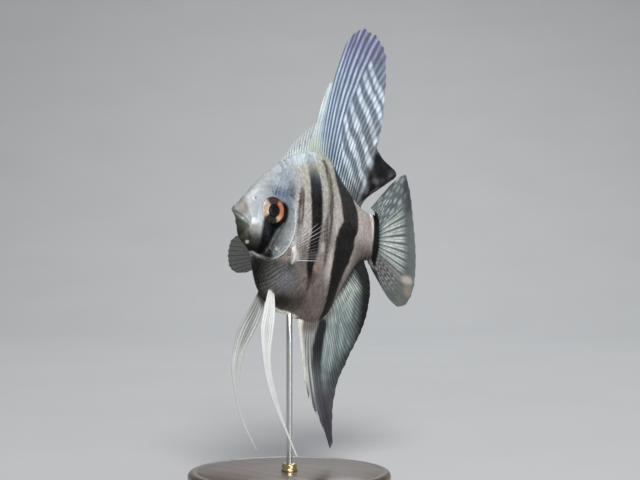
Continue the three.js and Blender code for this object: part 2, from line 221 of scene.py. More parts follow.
BACKDROP_START, BACKDROP_BEND = 1.0, 0.7
FLOOR_COLUMNS, COLUMN_GAP = 12, 0.4
sweep = [(-1.6 + 0.1 * k, 0.0) for k in range(27)]
for k in range(1, 17):
    bend = k / 16 * pi / 2
    sweep.append((BACKDROP_START + BACKDROP_BEND * sin(bend),
                  BACKDROP_BEND - BACKDROP_BEND * cos(bend)))
sweep += [(BACKDROP_START + BACKDROP_BEND, BACKDROP_BEND + 0.15 * k) for k in range(1, 12)]
away, across = -towards_camera, Vector((cos(CAMERA_AZIMUTH), sin(CAMERA_AZIMUTH), 0))
floor_points, floor_faces = [], []
for depth, height in sweep:
    for k in range(FLOOR_COLUMNS + 1):
        place = away * depth + across * (k - FLOOR_COLUMNS // 2) * COLUMN_GAP
        floor_points.append((place.x, place.y, height))
for row in range(len(sweep) - 1):
    for k in range(FLOOR_COLUMNS):
        first = row * (FLOOR_COLUMNS + 1) + k
        beyond = first + FLOOR_COLUMNS + 1
        floor_faces.append((first, first + 1, beyond + 1, beyond))
floor = object_from(mesh_from("floor", floor_points, floor_faces), floor_material)


def soft_light(name, azimuth, elevation, distance, size, power, colour=(1, 1, 1)):
    data = bpy.data.lights.new(name, "AREA")
    data.shape, data.size, data.energy, data.color = "DISK", size, power, colour
    lamp = bpy.data.objects.new(name, data)
    lamp.visible_camera = False
    a, e = radians(azimuth), radians(elevation)
    back = Vector((sin(a) * cos(e), -cos(a) * cos(e), sin(e)))
    lamp.location = aim + back * distance
    lamp.rotation_euler = (-back).to_track_quat("-Z", "Y").to_euler()
    bpy.context.collection.objects.link(lamp)
    return lamp


soft_light("key", -36, 40, 1.9, 0.75, 40.0, (1.0, 0.985, 0.96))
soft_light("front_fill", -10, 4, 1.6, 0.6, 6.0, (0.95, 0.97, 1.0))
soft_light("rim", 130, 42, 1.6, 0.6, 12.0, (0.95, 0.98, 1.0))
world = bpy.data.worlds.new("studio")
bpy.context.scene.world = world
world.use_nodes = True
sky = world.node_tree.nodes["Background"].inputs
sky["Color"].default_value, sky["Strength"].default_value = (0.92, 0.95, 1.0, 1), 0.27

# %% [markdown]
# ## The body's lines
# The body is one lofted shape: a back line, a belly line and a half width, each a smooth curve
# along x, with rounded sections between them. The solids were made from these same numbers, so
# a skin from them lies on the solids everywhere. Writing them as functions also lets every
# later piece, such as a scale or a fin's foot, ask where the skin is.


# %% Body lines
def smooth_curve(points):
    xs, ys = np.array(points, float).T
    before = np.maximum(np.arange(len(xs)) - 1, 0)
    after = np.minimum(np.arange(len(xs)) + 1, len(xs) - 1)
    slopes = (ys[after] - ys[before]) / (xs[after] - xs[before])

    def value(x):
        i = np.searchsorted(xs[1:-1], x)
        span, rise = xs[i + 1] - xs[i], ys[i + 1] - ys[i]
        t = np.clip((x - xs[i]) / span, 0, 1)
        a, b = slopes[i] * span - rise, rise - slopes[i + 1] * span
        return ys[i] + rise * t + t * (1 - t) * (a * (1 - t) + b * t)

    return value


BODY_START, BODY_END = -1.3, 87.0
back_line = smooth_curve([
    (-1.3, 1.0), (0.4, 2.3), (3.4, 6.1), (12, 16.2), (26, 27.8), (42, 33.7), (50, 32.4),
    (60, 24.3), (72, 15.7), (79, 13.0), (87, 12.9),
])
belly_line = smooth_curve([
    (-1.3, -2.0), (2.1, -5.2), (3.1, -8.6), (4.4, -12.2), (9.2, -15.6), (14.2, -20.4),
    (15.8, -26.4), (19.0, -32.4), (26, -37.9), (31, -39.7), (36, -39.8), (43, -41.0),
    (53, -41.4), (60, -37.4), (66, -28), (72, -18), (76, -12), (80, -9), (87, -8.8),
])
half_width = smooth_curve([
    (-1.3, 1.2), (0.3, 2.1), (3, 3.1), (9, 4.8), (16, 6.1), (24, 7.2), (33, 7.4), (44, 6.7),
    (56, 5.3), (68, 3.9), (78, 3.0), (87, 1.1),
])


def section_point(x, angle, inset=0.0):
    reach = np.clip(x / 45, 0, 1)
    top, bottom = back_line(x) - inset, belly_line(x) + inset
    up, out = np.sin(angle), np.cos(angle)
    roundness = np.where(up > 0, 1.1 + 0.5 * reach, 0.96 + 0.6 * reach)
    y = np.sign(out) * np.abs(out) ** roundness * (half_width(x) - inset)
    return np.stack([x + 0 * angle, y, (top + bottom) / 2 + up * (top - bottom) / 2], -1)


print("deepest section", round(float(back_line(44.0) - belly_line(44.0)), 1), "mm")

# %% [markdown]
# ## Distances, spots and noise
# Nearly every mark on a fish is a line, a stripe, a spot or a cloud with a soft edge. Five small
# functions of a place give these as numbers from 0 to 1, for relief and for paint alike.


# %% Distances, spots and noise
def ramp(low, high, value):
    """Rises softly from 0 at low to 1 at high, or falls when low is the larger."""
    t = np.clip((value - low) / (high - low), 0, 1)
    return t * t * (3 - 2 * t)


def swell(turns):
    """A wave that is 0 at whole numbers and 1 half way between them."""
    return 0.5 - 0.5 * np.cos(2 * pi * turns)


def from_piece(x, z, x0, z0, x1, z1):
    """Distance from the points to one straight piece, and the share of its length there."""
    run = (x1 - x0) ** 2 + (z1 - z0) ** 2
    t = np.clip(((x - x0) * (x1 - x0) + (z - z0) * (z1 - z0)) / run, 0, 1)
    return np.hypot(x - x0 - t * (x1 - x0), z - z0 - t * (z1 - z0)), t


def from_path(x, z, path):
    """Distance from the points to a path of (x, z), and how far along its pieces that is."""
    best, share = np.full(np.shape(x), 1e9), np.zeros(np.shape(x))
    for k, (start, end) in enumerate(zip(path, path[1:])):
        away, t = from_piece(x, z, *start, *end)
        nearer = away < best
        best = np.where(nearer, away, best)
        share = np.where(nearer, (k + t) / (len(path) - 1), share)
    return best, share


def band(x, z, path, soft):
    """A soft-edged stripe: the path holds (x, z, half width)."""
    inside = np.full(np.shape(x), -1e9)
    for (x0, z0, w0), (x1, z1, w1) in zip(path, path[1:]):
        away, t = from_piece(x, z, x0, z0, x1, z1)
        inside = np.maximum(inside, w0 + t * (w1 - w0) - away)
    return ramp(-soft, soft, inside)


def spot(x, z, centre, radii, soft=0.5):
    away = np.hypot((x - centre[0]) / radii[0], (z - centre[1]) / radii[1])
    return 1 - ramp(1 - soft, 1 + soft, away)


LATTICE = 97


def cloud(x, z, size, seed):
    """Soft noise from 0 to 1 on a seeded lattice, for markings that are never quite even."""
    lattice = np.random.default_rng(seed).random((LATTICE, LATTICE))
    u, v = np.asarray(x) / size + 31.7, np.asarray(z) / size + 47.3
    i, j = np.floor(u).astype(int), np.floor(v).astype(int)
    fu, fv = ramp(0, 1, u - i), ramp(0, 1, v - j)

    def at(di, dj):
        return lattice[(i + di) % LATTICE, (j + dj) % LATTICE]

    return ((at(0, 0) * (1 - fu) + at(1, 0) * fu) * (1 - fv)
            + (at(0, 1) * (1 - fu) + at(1, 1) * fu) * fv)


print("half way up a ramp:", ramp(0, 1, 0.5), " middle of a spot:", spot(0, 0, (0, 0), (1, 1)))

# %% [markdown]
# ## The relief of the head
# On the real head bone lies close under thin skin, so its edges show: the gill cover's plate,
# the cheek's ridge, the rim of the orbit, the nostril and the rolled lips. They could be
# sculpted, but each is a line or a spot at a known place, so they are raised or sunk by
# formulas of the distance to that line, which keeps both sides alike. The lines come first.

# %% Lines of the head
GILL_EDGE = [
    (24.6, 10.2), (26.8, 7.2), (28.2, 3.2), (28.7, -1.2), (28.6, -5), (27.9, -8.4), (26.6, -11.8),
    (24.2, -15.4), (21.8, -17.5), (19.4, -18.7), (16.6, -18.9), (14.2, -18.2), (12.4, -17.4),
    (11, -16.8),
]
CHEEK_RIDGE = [
    (14.6, -17), (15.6, -15.6), (16.6, -13.6), (17.2, -11.4), (18.2, -8.8), (20.2, -4.8),
    (21.8, -2.6),
]
MOUTH_SLIT = [(-3.0, -1.4), (-1.0, -1.8), (1.0, -2.7), (3.0, -3.8), (4.6, -5.0), (5.4, -6.2)]
UPPER_LIP_EDGE = [(1.4, 4.0), (3.6, 2.2), (4.8, -0.4), (5.8, -2.8), (6.4, -5.0)]
LOWER_LIP_EDGE = [(0.4, -3.6), (2.0, -5.2), (3.6, -7.0), (4.6, -8.6)]
CHIN_FOLD = [(8.6, -13.6), (7.4, -11.2), (6.4, -9.0), (5.8, -7.2)]
LIP_LIGHT = [(3.0, -4.0), (4.2, -6.0), (5.2, -8.6), (5.6, -10.4)]
SNOUT_FOLD = [(8.6, 3.6), (8.4, 0.2), (8.6, -3.2), (7.6, -6.4)]
NOSTRIL = (7.4, 5.6)


def groove(distance, width):
    return np.exp(-(distance / width) ** 2)


def eye_frame(side):
    """The eye's centre, its line back along the head and its line out of the head."""
    turn = EYE["turn"]
    return (np.array([EYE["x"], side * EYE["y"], EYE["z"]]),
            np.array([cos(turn), side * sin(turn), 0]),
            np.array([-sin(turn), side * cos(turn), 0]))


def eye_plane(points, side):
    """Coordinates on the eye's own disc: back, up and out of the head."""
    centre, back_axis, out_axis = eye_frame(side)
    offset = points - centre
    return offset @ back_axis, offset[..., 2], offset @ out_axis


def edge_side(x, z):
    """Positive inside the gill cover and head, negative behind and below its free edge."""
    ring = GILL_EDGE + [(-4, -15.8), (-4, 30), (20, 30), (22, 20)]
    inside = np.zeros(np.shape(x), bool)
    for (x0, z0), (x1, z1) in zip(ring, ring[1:] + ring[:1]):
        if z0 == z1:
            continue
        crosses = (z0 > z) != (z1 > z)
        inside ^= crosses & (x < (x1 - x0) * (z - z0) / (z1 - z0) + x0)
    return np.where(inside, 1.0, -1.0)


print("gill edge points:", len(GILL_EDGE), " mouth slit points:", len(MOUTH_SLIT))

# %% [markdown]
# ## Raising and sinking the skin
# The relief is a height in millimetres for every place. The gill cover stands proud and drops
# off sharply behind its edge, the cheek's ridge is a thin keel with a gutter in front, and the
# lips are a roll on either side of the slit. The eye sits in a round socket with a raised rim.


# %% Relief
def relief(points):
    x, y, z = points[..., 0], points[..., 1], points[..., 2]
    rise = np.zeros(x.shape)

    far, share = from_path(x, z, GILL_EDGE)
    signed = far * edge_side(x, z)
    fade = ramp(0, 0.08, share) * (1 - 0.8 * ramp(0.7, 0.95, share))
    plate = np.where(signed > 0, np.exp(-signed / 4.5) * ramp(0, 0.35, signed), 0)
    rise += 0.55 * fade * plate
    rise -= 0.5 * fade * np.where(signed < 0, np.exp(signed / 0.9), 0)
    rise += 0.16 * fade * groove(signed - 0.5, 0.3)

    far, share = from_path(x, z, CHEEK_RIDGE)
    ridge_fade = ramp(0, 0.12, share) * (1 - ramp(0.85, 1, share))
    rise += 0.24 * ridge_fade * groove(far, 0.42)
    inner = from_path(x, z, [(px - 0.95, pz + 0.45) for px, pz in CHEEK_RIDGE])[0]
    rise -= 0.2 * ridge_fade * groove(inner, 0.5)

    slit, share = from_path(x, z, MOUTH_SLIT)
    lip_fade = 1 - ramp(0.75, 1, share)
    rise -= 0.3 * groove(slit, 0.34) * (1 - 0.6 * ramp(0.8, 1, share))
    rise += 0.24 * groove(slit - 1.1, 0.75) * lip_fade
    rise -= 0.12 * groove(from_path(x, z, UPPER_LIP_EDGE)[0], 0.5)
    rise -= 0.14 * groove(from_path(x, z, LOWER_LIP_EDGE)[0], 0.45)
    rise -= 0.16 * groove(from_path(x, z, CHIN_FOLD)[0], 0.4)
    rise -= 0.09 * groove(from_path(x, z, SNOUT_FOLD)[0], 0.6)

    pit = np.hypot(x - NOSTRIL[0], z - NOSTRIL[1])
    rise += 0.16 * groove(pit - 0.72, 0.25) - 0.55 * groove(pit, 0.38)

    rise += 0.28 * spot(x, z, (13.8, 10.2), (5.2, 2.2), 0.9)
    rise -= 0.16 * spot(x, z, (23.9, 8), (2.6, 3.6), 0.9)
    rise += 0.22 * spot(x, z, (12, -9.5), (3, 4.5), 0.9)
    rise += 0.55 * spot(x, z, (29.6, -14.2), (1.8, 4), 0.6)
    side = np.where(y < 0, -1, 1)
    for which in (-1, 1):
        a, b, _ = eye_plane(points, which)
        radius = np.hypot(a, b)
        rim = 0.1 * groove(radius - 6.0, 0.42) + 0.06 * groove(radius - 7.4, 1.0)
        socket = -2.6 * (1 - ramp(5.05, 5.65, radius))
        rise += np.where(side == which, rim + socket, 0)
    return rise


print("just inside the gill edge:", round(float(relief(np.array([27.8, -6.0, -3.0]))), 2), "mm")

# %% [markdown]
# ## Markings
# The skin and every scale over it must carry the same bars, so the markings are a function of
# the place on the body: give it points, and it gives back a colour and how silvery the place
# is. It works as a painter does, one soft layer over the last. Each bar is a path whose points
# hold x, z and half the bar's width there.


# %% Layers of paint and paths of the bars
def colour(tone):
    """The light in an everyday colour of 0 to 255; what is already light passes unchanged."""
    if not isinstance(tone, tuple):
        return tone
    s = np.array(tone) / 255
    return np.where(s <= 0.04045, s / 12.92, ((s + 0.055) / 1.055) ** 2.4)


def lay(ground, layers):
    """Lays tones over a ground in turn; a layer is a mask from 0 to 1 and its tone."""
    ground = colour(ground)
    for mask, tone in layers:
        ground = ground + (colour(tone) - ground) * np.asarray(mask)[..., None]
    return ground


BAR_TWO = [
    (36.6, 30.5, 1.9), (37.3, 27.8, 2.6), (38.3, 24.1, 3.1), (39.3, 19.9, 3.6), (40.2, 15.5, 3.8),
    (40.8, 8.5, 3.8), (41.4, 1, 3.4), (41.6, -3, 3), (41.4, -6.3, 3), (41.5, -10, 3),
    (41.5, -13.4, 2.8), (41.3, -17, 2.2), (41.8, -20.4, 1.8), (42.7, -24.2, 1.2),
    (43.2, -28.5, 0.5),
]
BAR_THREE_TOP = [
    (55.6, 29.5, 2.2), (58.4, 24, 4), (61, 20.4, 4.6), (63.2, 16.1, 5.2), (64.8, 11.8, 5.6),
    (65.8, 7.7, 5.5), (65.8, 3.6, 5.2),
]
BAR_THREE_LOW = [
    (63.8, 0.8, 5.5), (63.1, -1.4, 6.2), (62.7, -4, 6.7), (61.9, -10, 6.1), (61, -14.2, 5.2),
    (60.3, -18.5, 4.4), (59.8, -25.5, 3.4), (60, -32.5, 3.2), (59.4, -37, 2.9), (58.8, -41.5, 2.7),
    (58.3, -46, 2.5),
]
BAR_FOUR = [
    (82.9, 14.4, 1), (84.5, 12.7, 2), (85.3, 9.8, 2.3), (85.8, 4.5, 2.6), (86.5, -1.5, 2.9),
    (86.8, -6.4, 2), (87.4, -9.3, 1),
]
EYE_BAR = [
    (16, -2.4, 4), (15.1, -4.6, 3.7), (14.5, -7.4, 3.1), (14.3, -10.4, 2.6), (14.1, -13.6, 1.8),
    (13.9, -16.2, 1.3),
]
HALF_BAR_ONE = [
    (31.6, 14.8, 0.7), (31.2, 11.5, 1.5), (31, 7, 1.8), (31, 2.8, 1.7), (31, -1.6, 1.5),
    (31.1, -5.2, 1.2), (31, -9.6, 0.6),
]
HALF_BAR_TWO = [
    (46, 29.6, 1), (48.2, 25, 1.8), (49.4, 20.7, 1.8), (50.2, 16.6, 1.7), (50.6, 10.9, 2.1),
    (49.8, 4, 2.7), (49.4, -1, 2.6), (49.8, -6, 1.8), (50.4, -12, 1.2), (50.4, -16, 0.6),
]
CROWN_STREAKS = [
    [(20.4, 8.6), (21.2, 12.6), (23.6, 17.2)], [(18.4, 9.2), (19.6, 13.2), (22, 17.6)],
    [(22.6, 9.8), (23.6, 13.6), (26, 18)], [(16.4, 8.8), (17.6, 12), (19.6, 15.4)],
]

print("points on the bars:", len(BAR_TWO), len(BAR_THREE_TOP) + len(BAR_THREE_LOW), len(BAR_FOUR))

# %% [markdown]
# ## The ground of the flank
# The ground runs from cream on the back through silver to a brown-grey on the belly; the
# darkening towards the belly is painted shade, as under a light from above. Warmer and darker
# clouds lie between the bars, with a few bright ones beside them, where the silver shows clean.
# Along the lowest edge of the body, where the rear of the anal fin meets it, painted shade
# darkens the crease.


# %% Ground of the flank
def above_belly(x, z):
    return z - belly_line(np.clip(x, BODY_START, BODY_END))


def flank_ground(x, z):
    high = ramp(4, 24, z - 0.15 * (x - 40))
    # Darker towards the belly: painted shade, as under a light from above.
    low = ramp(-9, -25, z)
    ground = lay((184, 177, 173), [
        (high, (184, 183, 170)),
        (low, (112, 103, 97)),
        (ramp(-24, -34, z), (82, 73, 68)),
        (0.8 * ramp(66, 76, x), (172, 161, 155)),
        (0.35 * ramp(-3, -12, z), (134, 122, 116)),
        (0.8 * spot(x, z, (36.2, -14), (3.2, 7.5), 0.8), (106, 94, 88)),
        (0.8 * ramp(66, 73, x) * ramp(2, -6, z), (92, 79, 74)),
    ])
    # Painted shade in the crease where the rear of the anal fin meets the body.
    keel = ramp(5.5, 1, above_belly(x, z))
    ground = lay(ground, [
        (0.85 * keel * ramp(64, 69, x), (38, 34, 32)),
        (0.3 * ramp(0.5, 0.9, cloud(x * 1.9, z * 0.3, 1.5, 6)), (140, 129, 122)),
        (0.8 * spot(x, z, (50.8, -6.8), (7.2, 6.8), 0.9), (114, 106, 104)),
        (0.65 * spot(x, z, (44.6, -21), (2.2, 5), 0.8), (74, 66, 62)),
        (0.75 * spot(x, z, (29.8, -1), (1.4, 9), 0.8), (214, 211, 207)),
        (0.5 * spot(x, z, (44.8, -3), (2.2, 5.5), 0.9), (92, 83, 79)),
    ])
    pale = 0.75 * spot(x, z, (54.3, -15), (2.6, 7), 0.8)
    pale = np.maximum(pale, 0.7 * spot(x, z, (47.8, -8.6), (2.2, 2), 0.5))
    pale = np.maximum(pale, 0.6 * spot(x, z, (56.5, 6), (2.4, 8), 0.8))
    return lay(ground, [
        (pale, (206, 197, 191)),
        (0.6 * spot(x, z, (45.2, -17.2), (2.1, 2.6), 0.6), (176, 146, 124)),
        (0.35 * spot(x, z, (33.6, 12.5), (3, 5), 0.8), (168, 163, 140)),
    ])


print("mid flank:", np.round(flank_ground(np.array(45.0), np.array(0.0)), 2))

# %% [markdown]
# ## Breast, gill cover and nape
# The breast is dusky and its small scales show as slanting rows of dark and of painted
# highlight, so the rows are a wave across a slanting distance, bent by noise, with a painted
# violet sheen on them. The gill cover is bare silver, bluest over the nape, where a pale strip
# along the back is partly painted highlight, with a painted shadow behind the eye and its two
# brightest glints near the edge, which are painted highlights.


# %% Breast, gill cover and nape
def breast_mask(x, z):
    return ramp(-17, -20, z) * ramp(37, 30, x)


def lay_breast(ground, x, z):
    breast = breast_mask(x, z)
    ground = lay(ground, [
        (breast, (88, 87, 83)),
        (0.9 * breast * ramp(24, 15.5, x), (33, 34, 27)),
    ])
    lines = cloud(1.1 * x - 1.5 * z, 0.25 * (x + z), 1.5, 7)
    lower_side = ramp(-17, -21, z) * ramp(60, 40, x)
    ground = lay(ground, [(0.35 * lower_side * ramp(0.5, 0.85, lines), (46, 43, 41))])
    row = 0.5 + 0.5 * np.cos(2 * pi * (z - 0.85 * x + 1.6 * cloud(x, z, 5, 17)) / 2)
    streaks = breast * ramp(-33, -29, z) * ramp(15, 21, x)
    # Dark rows between the scales, then pale rows of painted highlight along them.
    ground = lay(ground, [
        (0.55 * streaks * ramp(0.55, 0.1, row), (36, 36, 36)),
        (0.5 * streaks * ramp(0.6, 0.95, row) * (0.4 + 0.6 * cloud(x, z, 2, 18)),
         (150, 150, 154)),
        # Painted violet sheen on the breast.
        (0.55 * spot(x, z, (29.4, -26), (5, 4.2), 0.8), (124, 122, 130)),
        (0.92 * spot(x, z, (30.6, -35), (7.6, 3), 0.6), (34, 30, 20)),
        (0.7 * spot(x, z, (39, -33.5), (5, 4), 0.7), (58, 52, 48)),
    ])
    rim = ramp(1.5, 0.8, above_belly(x, z)) * ramp(26, 30, x)
    rim *= ramp(44, 40, x)
    return lay(ground, [(rim, (246, 240, 230))])


def lay_gill_cover(ground, x, z, signed):
    """The signed distance is from the cover's free edge, positive on the cover."""
    nape = ramp(31, 21, x + 0.35 * (20 - z)) * ramp(2, 10, z)
    cover = ramp(-0.3, 0.5, signed) * ramp(12, 8, z)
    head = np.clip(np.maximum(cover, nape), 0, 1)
    ground = lay(ground, [
        (head, (166, 171, 174)),
        (head * ramp(4, -12, z), (156, 161, 165)),
        (0.35 * head * ramp(0.5, 0.85, cloud(x, z, 1.5, 13)), (146, 152, 152)),
        # Painted highlights: the two brightest glints near the cover's edge.
        (0.8 * spot(x, z, (28.5, 2.6), (1.9, 6.8), 0.8), (206, 211, 213)),
        (0.7 * spot(x, z, (27.6, -7), (2.2, 4.6), 0.8), (212, 215, 216)),
    ])
    # Painted shadow behind the eye.
    shadow_behind_eye = ramp(25.8, 17, x - 0.23 * (z + 10)) * ramp(13.5, 16.5, x)
    shadow_behind_eye *= ramp(8.5, 4, z) * ramp(-0.3, 0.6, signed)
    shadow_behind_eye *= 0.82 + 0.36 * cloud(x, z, 1.4, 16)
    ground = lay(ground, [(0.92 * np.clip(shadow_behind_eye, 0, 1), (24, 30, 30))])
    back_gap = back_line(np.clip(x, BODY_START, BODY_END)) - z
    # Pale silver-blue strips along the back behind the head, partly painted highlight.
    return lay(ground, [
        (0.75 * ramp(7, 0.5, back_gap) * ramp(44, 30, x) * ramp(14, 24, x), (172, 181, 190)),
        (0.75 * ramp(8, 1, back_gap) * ramp(44, 39, x) * ramp(24, 31, x), (206, 220, 230)),
    ])


print("breast at its middle:", round(float(breast_mask(24.0, -26.0)), 2))

# %% [markdown]
# ## The bars
# Black pigment cells crowd into bars that are even at a distance and ragged close up. The two
# whole bars and the one on the tail base are nearly black, brown or blue-grey where they thin
# out at the top. The two half bars between them are faint and fibrous. A stripe of even edge
# would look printed, so the bars are drawn at places moved about by noise.


# %% Bars
def dark_level(x, z, mask):
    return mask * (0.93 + 0.07 * cloud(x, z, 1.2, 8))


def lay_bars(ground, x, z, xw, zw):
    """Also returns how dark the bars make each place. The moved places are xw and zw."""
    bars = dark_level(x, z, 0.98 * band(xw, z, BAR_TWO, 0.6)) * (1 - 0.8 * ramp(18, 28, z))
    bars *= 1 - 0.2 * spot(x, z, (42.5, -13), (4, 1.6), 0.8) - 0.4 * ramp(-20, -25, z)
    lower = band(xw, zw, BAR_THREE_LOW, 0.6)
    upper = band(xw, zw, BAR_THREE_TOP, 0.6)
    third = dark_level(x, z, 0.98 * np.maximum(upper * (1 - 0.06 * ramp(2, 8, z)), lower))
    ground = lay(ground, [(bars, lay((14, 10, 12), [(ramp(10, 24, z), (70, 80, 96))]))])
    third_tone = lay((9, 7, 8), [
        (ramp(-1, 7, z), (32, 29, 30)),
        (ramp(14, 24, z), (54, 59, 62)),
    ])
    ground = lay(ground, [(third, third_tone)])
    fibre = 0.45 + 0.95 * cloud(x * 2.8, z * 0.3, 1.6, 9)
    first_half = band(xw, zw, HALF_BAR_ONE, 0.45) * (0.35 + 0.65 * ramp(-5, 1, z))
    ground = lay(ground, [(np.clip(0.85 * first_half * fibre, 0, 1), (84, 72, 65))])
    seam = groove(xw - 30.2, 0.4) * first_half
    ground = lay(ground, [(0.6 * seam, (44, 36, 32))])
    second_half = band(xw, zw, HALF_BAR_TWO, 0.6)
    ground = lay(ground, [(np.clip(0.86 * second_half * fibre, 0, 1), (80, 71, 66))])
    white_edge = band(x, z, [(p - half - 0.9, q, 1) for p, q, half in BAR_FOUR], 0.6)
    ground = lay(ground, [(0.9 * white_edge * ramp(17, 11, z) * ramp(-1, 7, z), (232, 228, 222))])
    tail_bar = 0.99 * band(x, z, BAR_FOUR, 0.35)
    ground = lay(ground, [
        (tail_bar, (6, 5, 7)),
        # Painted highlight at the top of the pale edge before the tail bar.
        (spot(x, z, (81.7, 12.4), (1.1, 1), 0.4), (250, 250, 244)),
    ])
    return ground, np.maximum.reduce([bars, third, tail_bar])


print("half bars:", len(HALF_BAR_ONE), "and", len(HALF_BAR_TWO), "points")

# %% [markdown]
# ## Crown, cheek and face
# Over the eye the skin is blue with fine dark streaks, and a painted shadow of the bony rim
# lies round the orbit. The snout is dull, the lips and the low cheek are olive to black, and the
# eye's own bar runs down from it. Small things tell most here: the nostril, the light on the
# lip, a painted highlight at the corner of the mouth and one pale pore on the chin.


# %% Crown, cheek and face
def lay_crown(ground, x, z):
    ground = lay(ground, [
        (0.35 * spot(x, z, (25.5, 17), (5, 4.5), 0.9), (140, 158, 190)),
        (0.75 * spot(x, z, (21, 11.2), (5.6, 4.6), 0.9), (72, 92, 124)),
        (0.55 * spot(x, z, (19.6, 14.4), (4.6, 2.4), 0.9), (190, 201, 210)),
    ])
    for path in CROWN_STREAKS:
        away, along_it = from_path(x, z, path)
        ground = lay(ground, [(0.62 * groove(away, 0.34) * ramp(1, 0.3, along_it), (48, 62, 82))])
    return lay(ground, [(0.6 * spot(x, z, (25.4, 12.2), (1.4, 3.4), 0.7), (70, 84, 82))])


def lay_cheek(ground, x, y, z):
    a, b, _ = eye_plane(np.stack([x, -np.abs(y), z], -1), -1)
    round_eye, turn = np.hypot(a, b), np.degrees(np.arctan2(b, a))
    wide = 3 * ramp(62, 20, turn) * ramp(-110, -60, turn)
    # Painted shadow round the back and underside of the eye.
    shadow = ramp(5.6 + wide, 5 + 0.75 * wide, round_eye)
    shadow *= ramp(4.6, 5, round_eye)
    shadow *= ramp(66, 48, turn) * ramp(-128, -100, turn)
    ground = lay(ground, [(0.96 * shadow, (10, 11, 15))])
    cheek = spot(x, z, (9.6, 0.4), (2.8, 6), 0.7)
    return lay(ground, [
        (0.5 * cheek, (176, 183, 188)),
        (0.5 * spot(x, z, (10.2, -3.2), (2.4, 1.8), 0.7), (190, 197, 200)),
        # Painted highlight at the corner of the mouth.
        (0.95 * spot(x, z, (7.3, -4.2), (1.2, 1.4), 0.5), (226, 231, 234)),
    ])


def lay_face(ground, x, y, z, signed, eye_bar):
    """Also returns how dark the cheek is, and how clean the silver is."""
    snout = ramp(5.4, 3.2, x + 0.25 * np.abs(z - 1)) * ramp(-4.2, -1.2, z)
    ground = lay(ground, [
        (0.74 * snout, (112, 109, 103)),
        (0.6 * spot(x, z, (1.6, 0.6), (2.2, 1.6), 0.8), (138, 130, 120)),
    ])
    jaw_edge = np.interp(z, [-14.3, -10.6, -6.9, -3.6, -1.0], [8.4, 7.0, 5.6, 3.4, 0.4])
    jaw_edge = jaw_edge + 1.6 * (cloud(x, z, 1.6, 14) - 0.5)
    jaw = ramp(1.8, -1.2, x - jaw_edge) * ramp(-1.4, -4, z + 0.5 * x)
    low_cheek = ramp(-6.6, -11.4, z + 0.1 * (x - 8) + 1.4 * (cloud(x, z, 1.3, 15) - 0.5))
    low_cheek *= ramp(-0.2, 0.5, signed)
    low_cheek *= ramp(18.5, 15.5, x + 0.3 * (z + 14))
    ground = lay(ground, [
        (0.75 * spot(x, z, (8.3, -7.4), (1.8, 2), 0.7), (136, 130, 116)),
        (0.93 * low_cheek, (44, 42, 35)),
    ])
    throat = low_cheek * ramp(-11.5, -15.5, z)
    ground = lay(ground, [
        (0.9 * throat, (17, 19, 15)),
        (0.95 * jaw, lay((70, 73, 60), [(ramp(-4, -9, z), (44, 45, 32))])),
        (0.6 * jaw * groove(from_path(x, z, LIP_LIGHT)[0], 0.5), (96, 99, 84)),
        (0.4 * jaw * ramp(0.5, 0.8, cloud(x * 2, z * 0.4, 1.3, 10)), (84, 86, 70)),
        (0.97 * eye_bar, (10, 11, 14)),
    ])
    slit = from_path(x, z, MOUTH_SLIT)[0]
    ground = lay(ground, [(0.25 * groove(slit, 0.4), (66, 62, 54))])
    dot = np.sqrt((x - 7.0) ** 2 + (np.abs(y) - 1.9) ** 2 + (z + 13.3) ** 2)
    ground = lay(ground, [(0.9 * ramp(1.15, 0.7, dot), (190, 188, 176))])
    pit = np.hypot(x - NOSTRIL[0], z - NOSTRIL[1])
    ground = lay(ground, [(0.55 * groove(pit, 0.42), (62, 63, 68))])
    return ground, 0.8 * throat + 0.5 * low_cheek * (1 - throat), 1 - 0.5 * snout - 0.5 * jaw


print("nostril at", NOSTRIL, "and", len(CROWN_STREAKS), "streaks on the crown")

# %% [markdown]
# ## Fine lines, and the whole coat of paint
# Last come the lines that catch light on bone, painted into the colour: the pale free edge of
# the gill cover as a painted highlight with a painted shadow behind it, the cheek's ridge,
# painted glints under the cheek and the root of the pectoral fin. Then one function lays
# everything in order, for the skin now and for the scales later.


# %% Paint of the body
def lay_fine_lines(ground, x, z, signed, share):
    ridge_far, ridge_share = from_path(x, z, CHEEK_RIDGE)
    wide_part = ramp(-17, -13, z) * ramp(-3, -7, z)
    # Painted highlight along the free edge of the gill cover.
    edge = groove(signed - 0.2, 0.45 + 0.3 * wide_part - 0.2 * ramp(0.8, 0.9, share))
    edge *= ramp(0.3, 0.42, share)
    edge *= 1 - 0.8 * ramp(0.68, 0.74, share) * (1 - ramp(0.8, 0.88, share))
    ground = lay(ground, [(0.85 * edge, (208, 205, 200))])
    # Painted shadow just behind the free edge.
    under = np.where(signed < 0, np.exp(signed / 0.8), 0) * ramp(0.1, 0.3, share)
    ground = lay(ground, [
        (0.5 * under, (44, 42, 42)),
        (0.45 * groove(ridge_far, 0.24) * ramp(0, 0.15, ridge_share), (120, 126, 124)),
    ])
    # Painted glints under the cheek.
    painted_cheek_glints = spot(x, z, (20, -14.6), (3.4, 1.6), 0.6)
    ground = lay(ground, [
        (0.6 * painted_cheek_glints * ramp(0.55, 0.75, cloud(x, z, 0.7, 12)), (206, 214, 206))])
    root = band(x, z, [(28, -9.6, 0.6), (29, -12, 1.1), (30.6, -14.4, 1.3),
                       (30.4, -16.6, 0.9), (29.6, -18.4, 0.4)], 0.5)
    return lay(ground, [(0.9 * root, (232, 226, 220))])


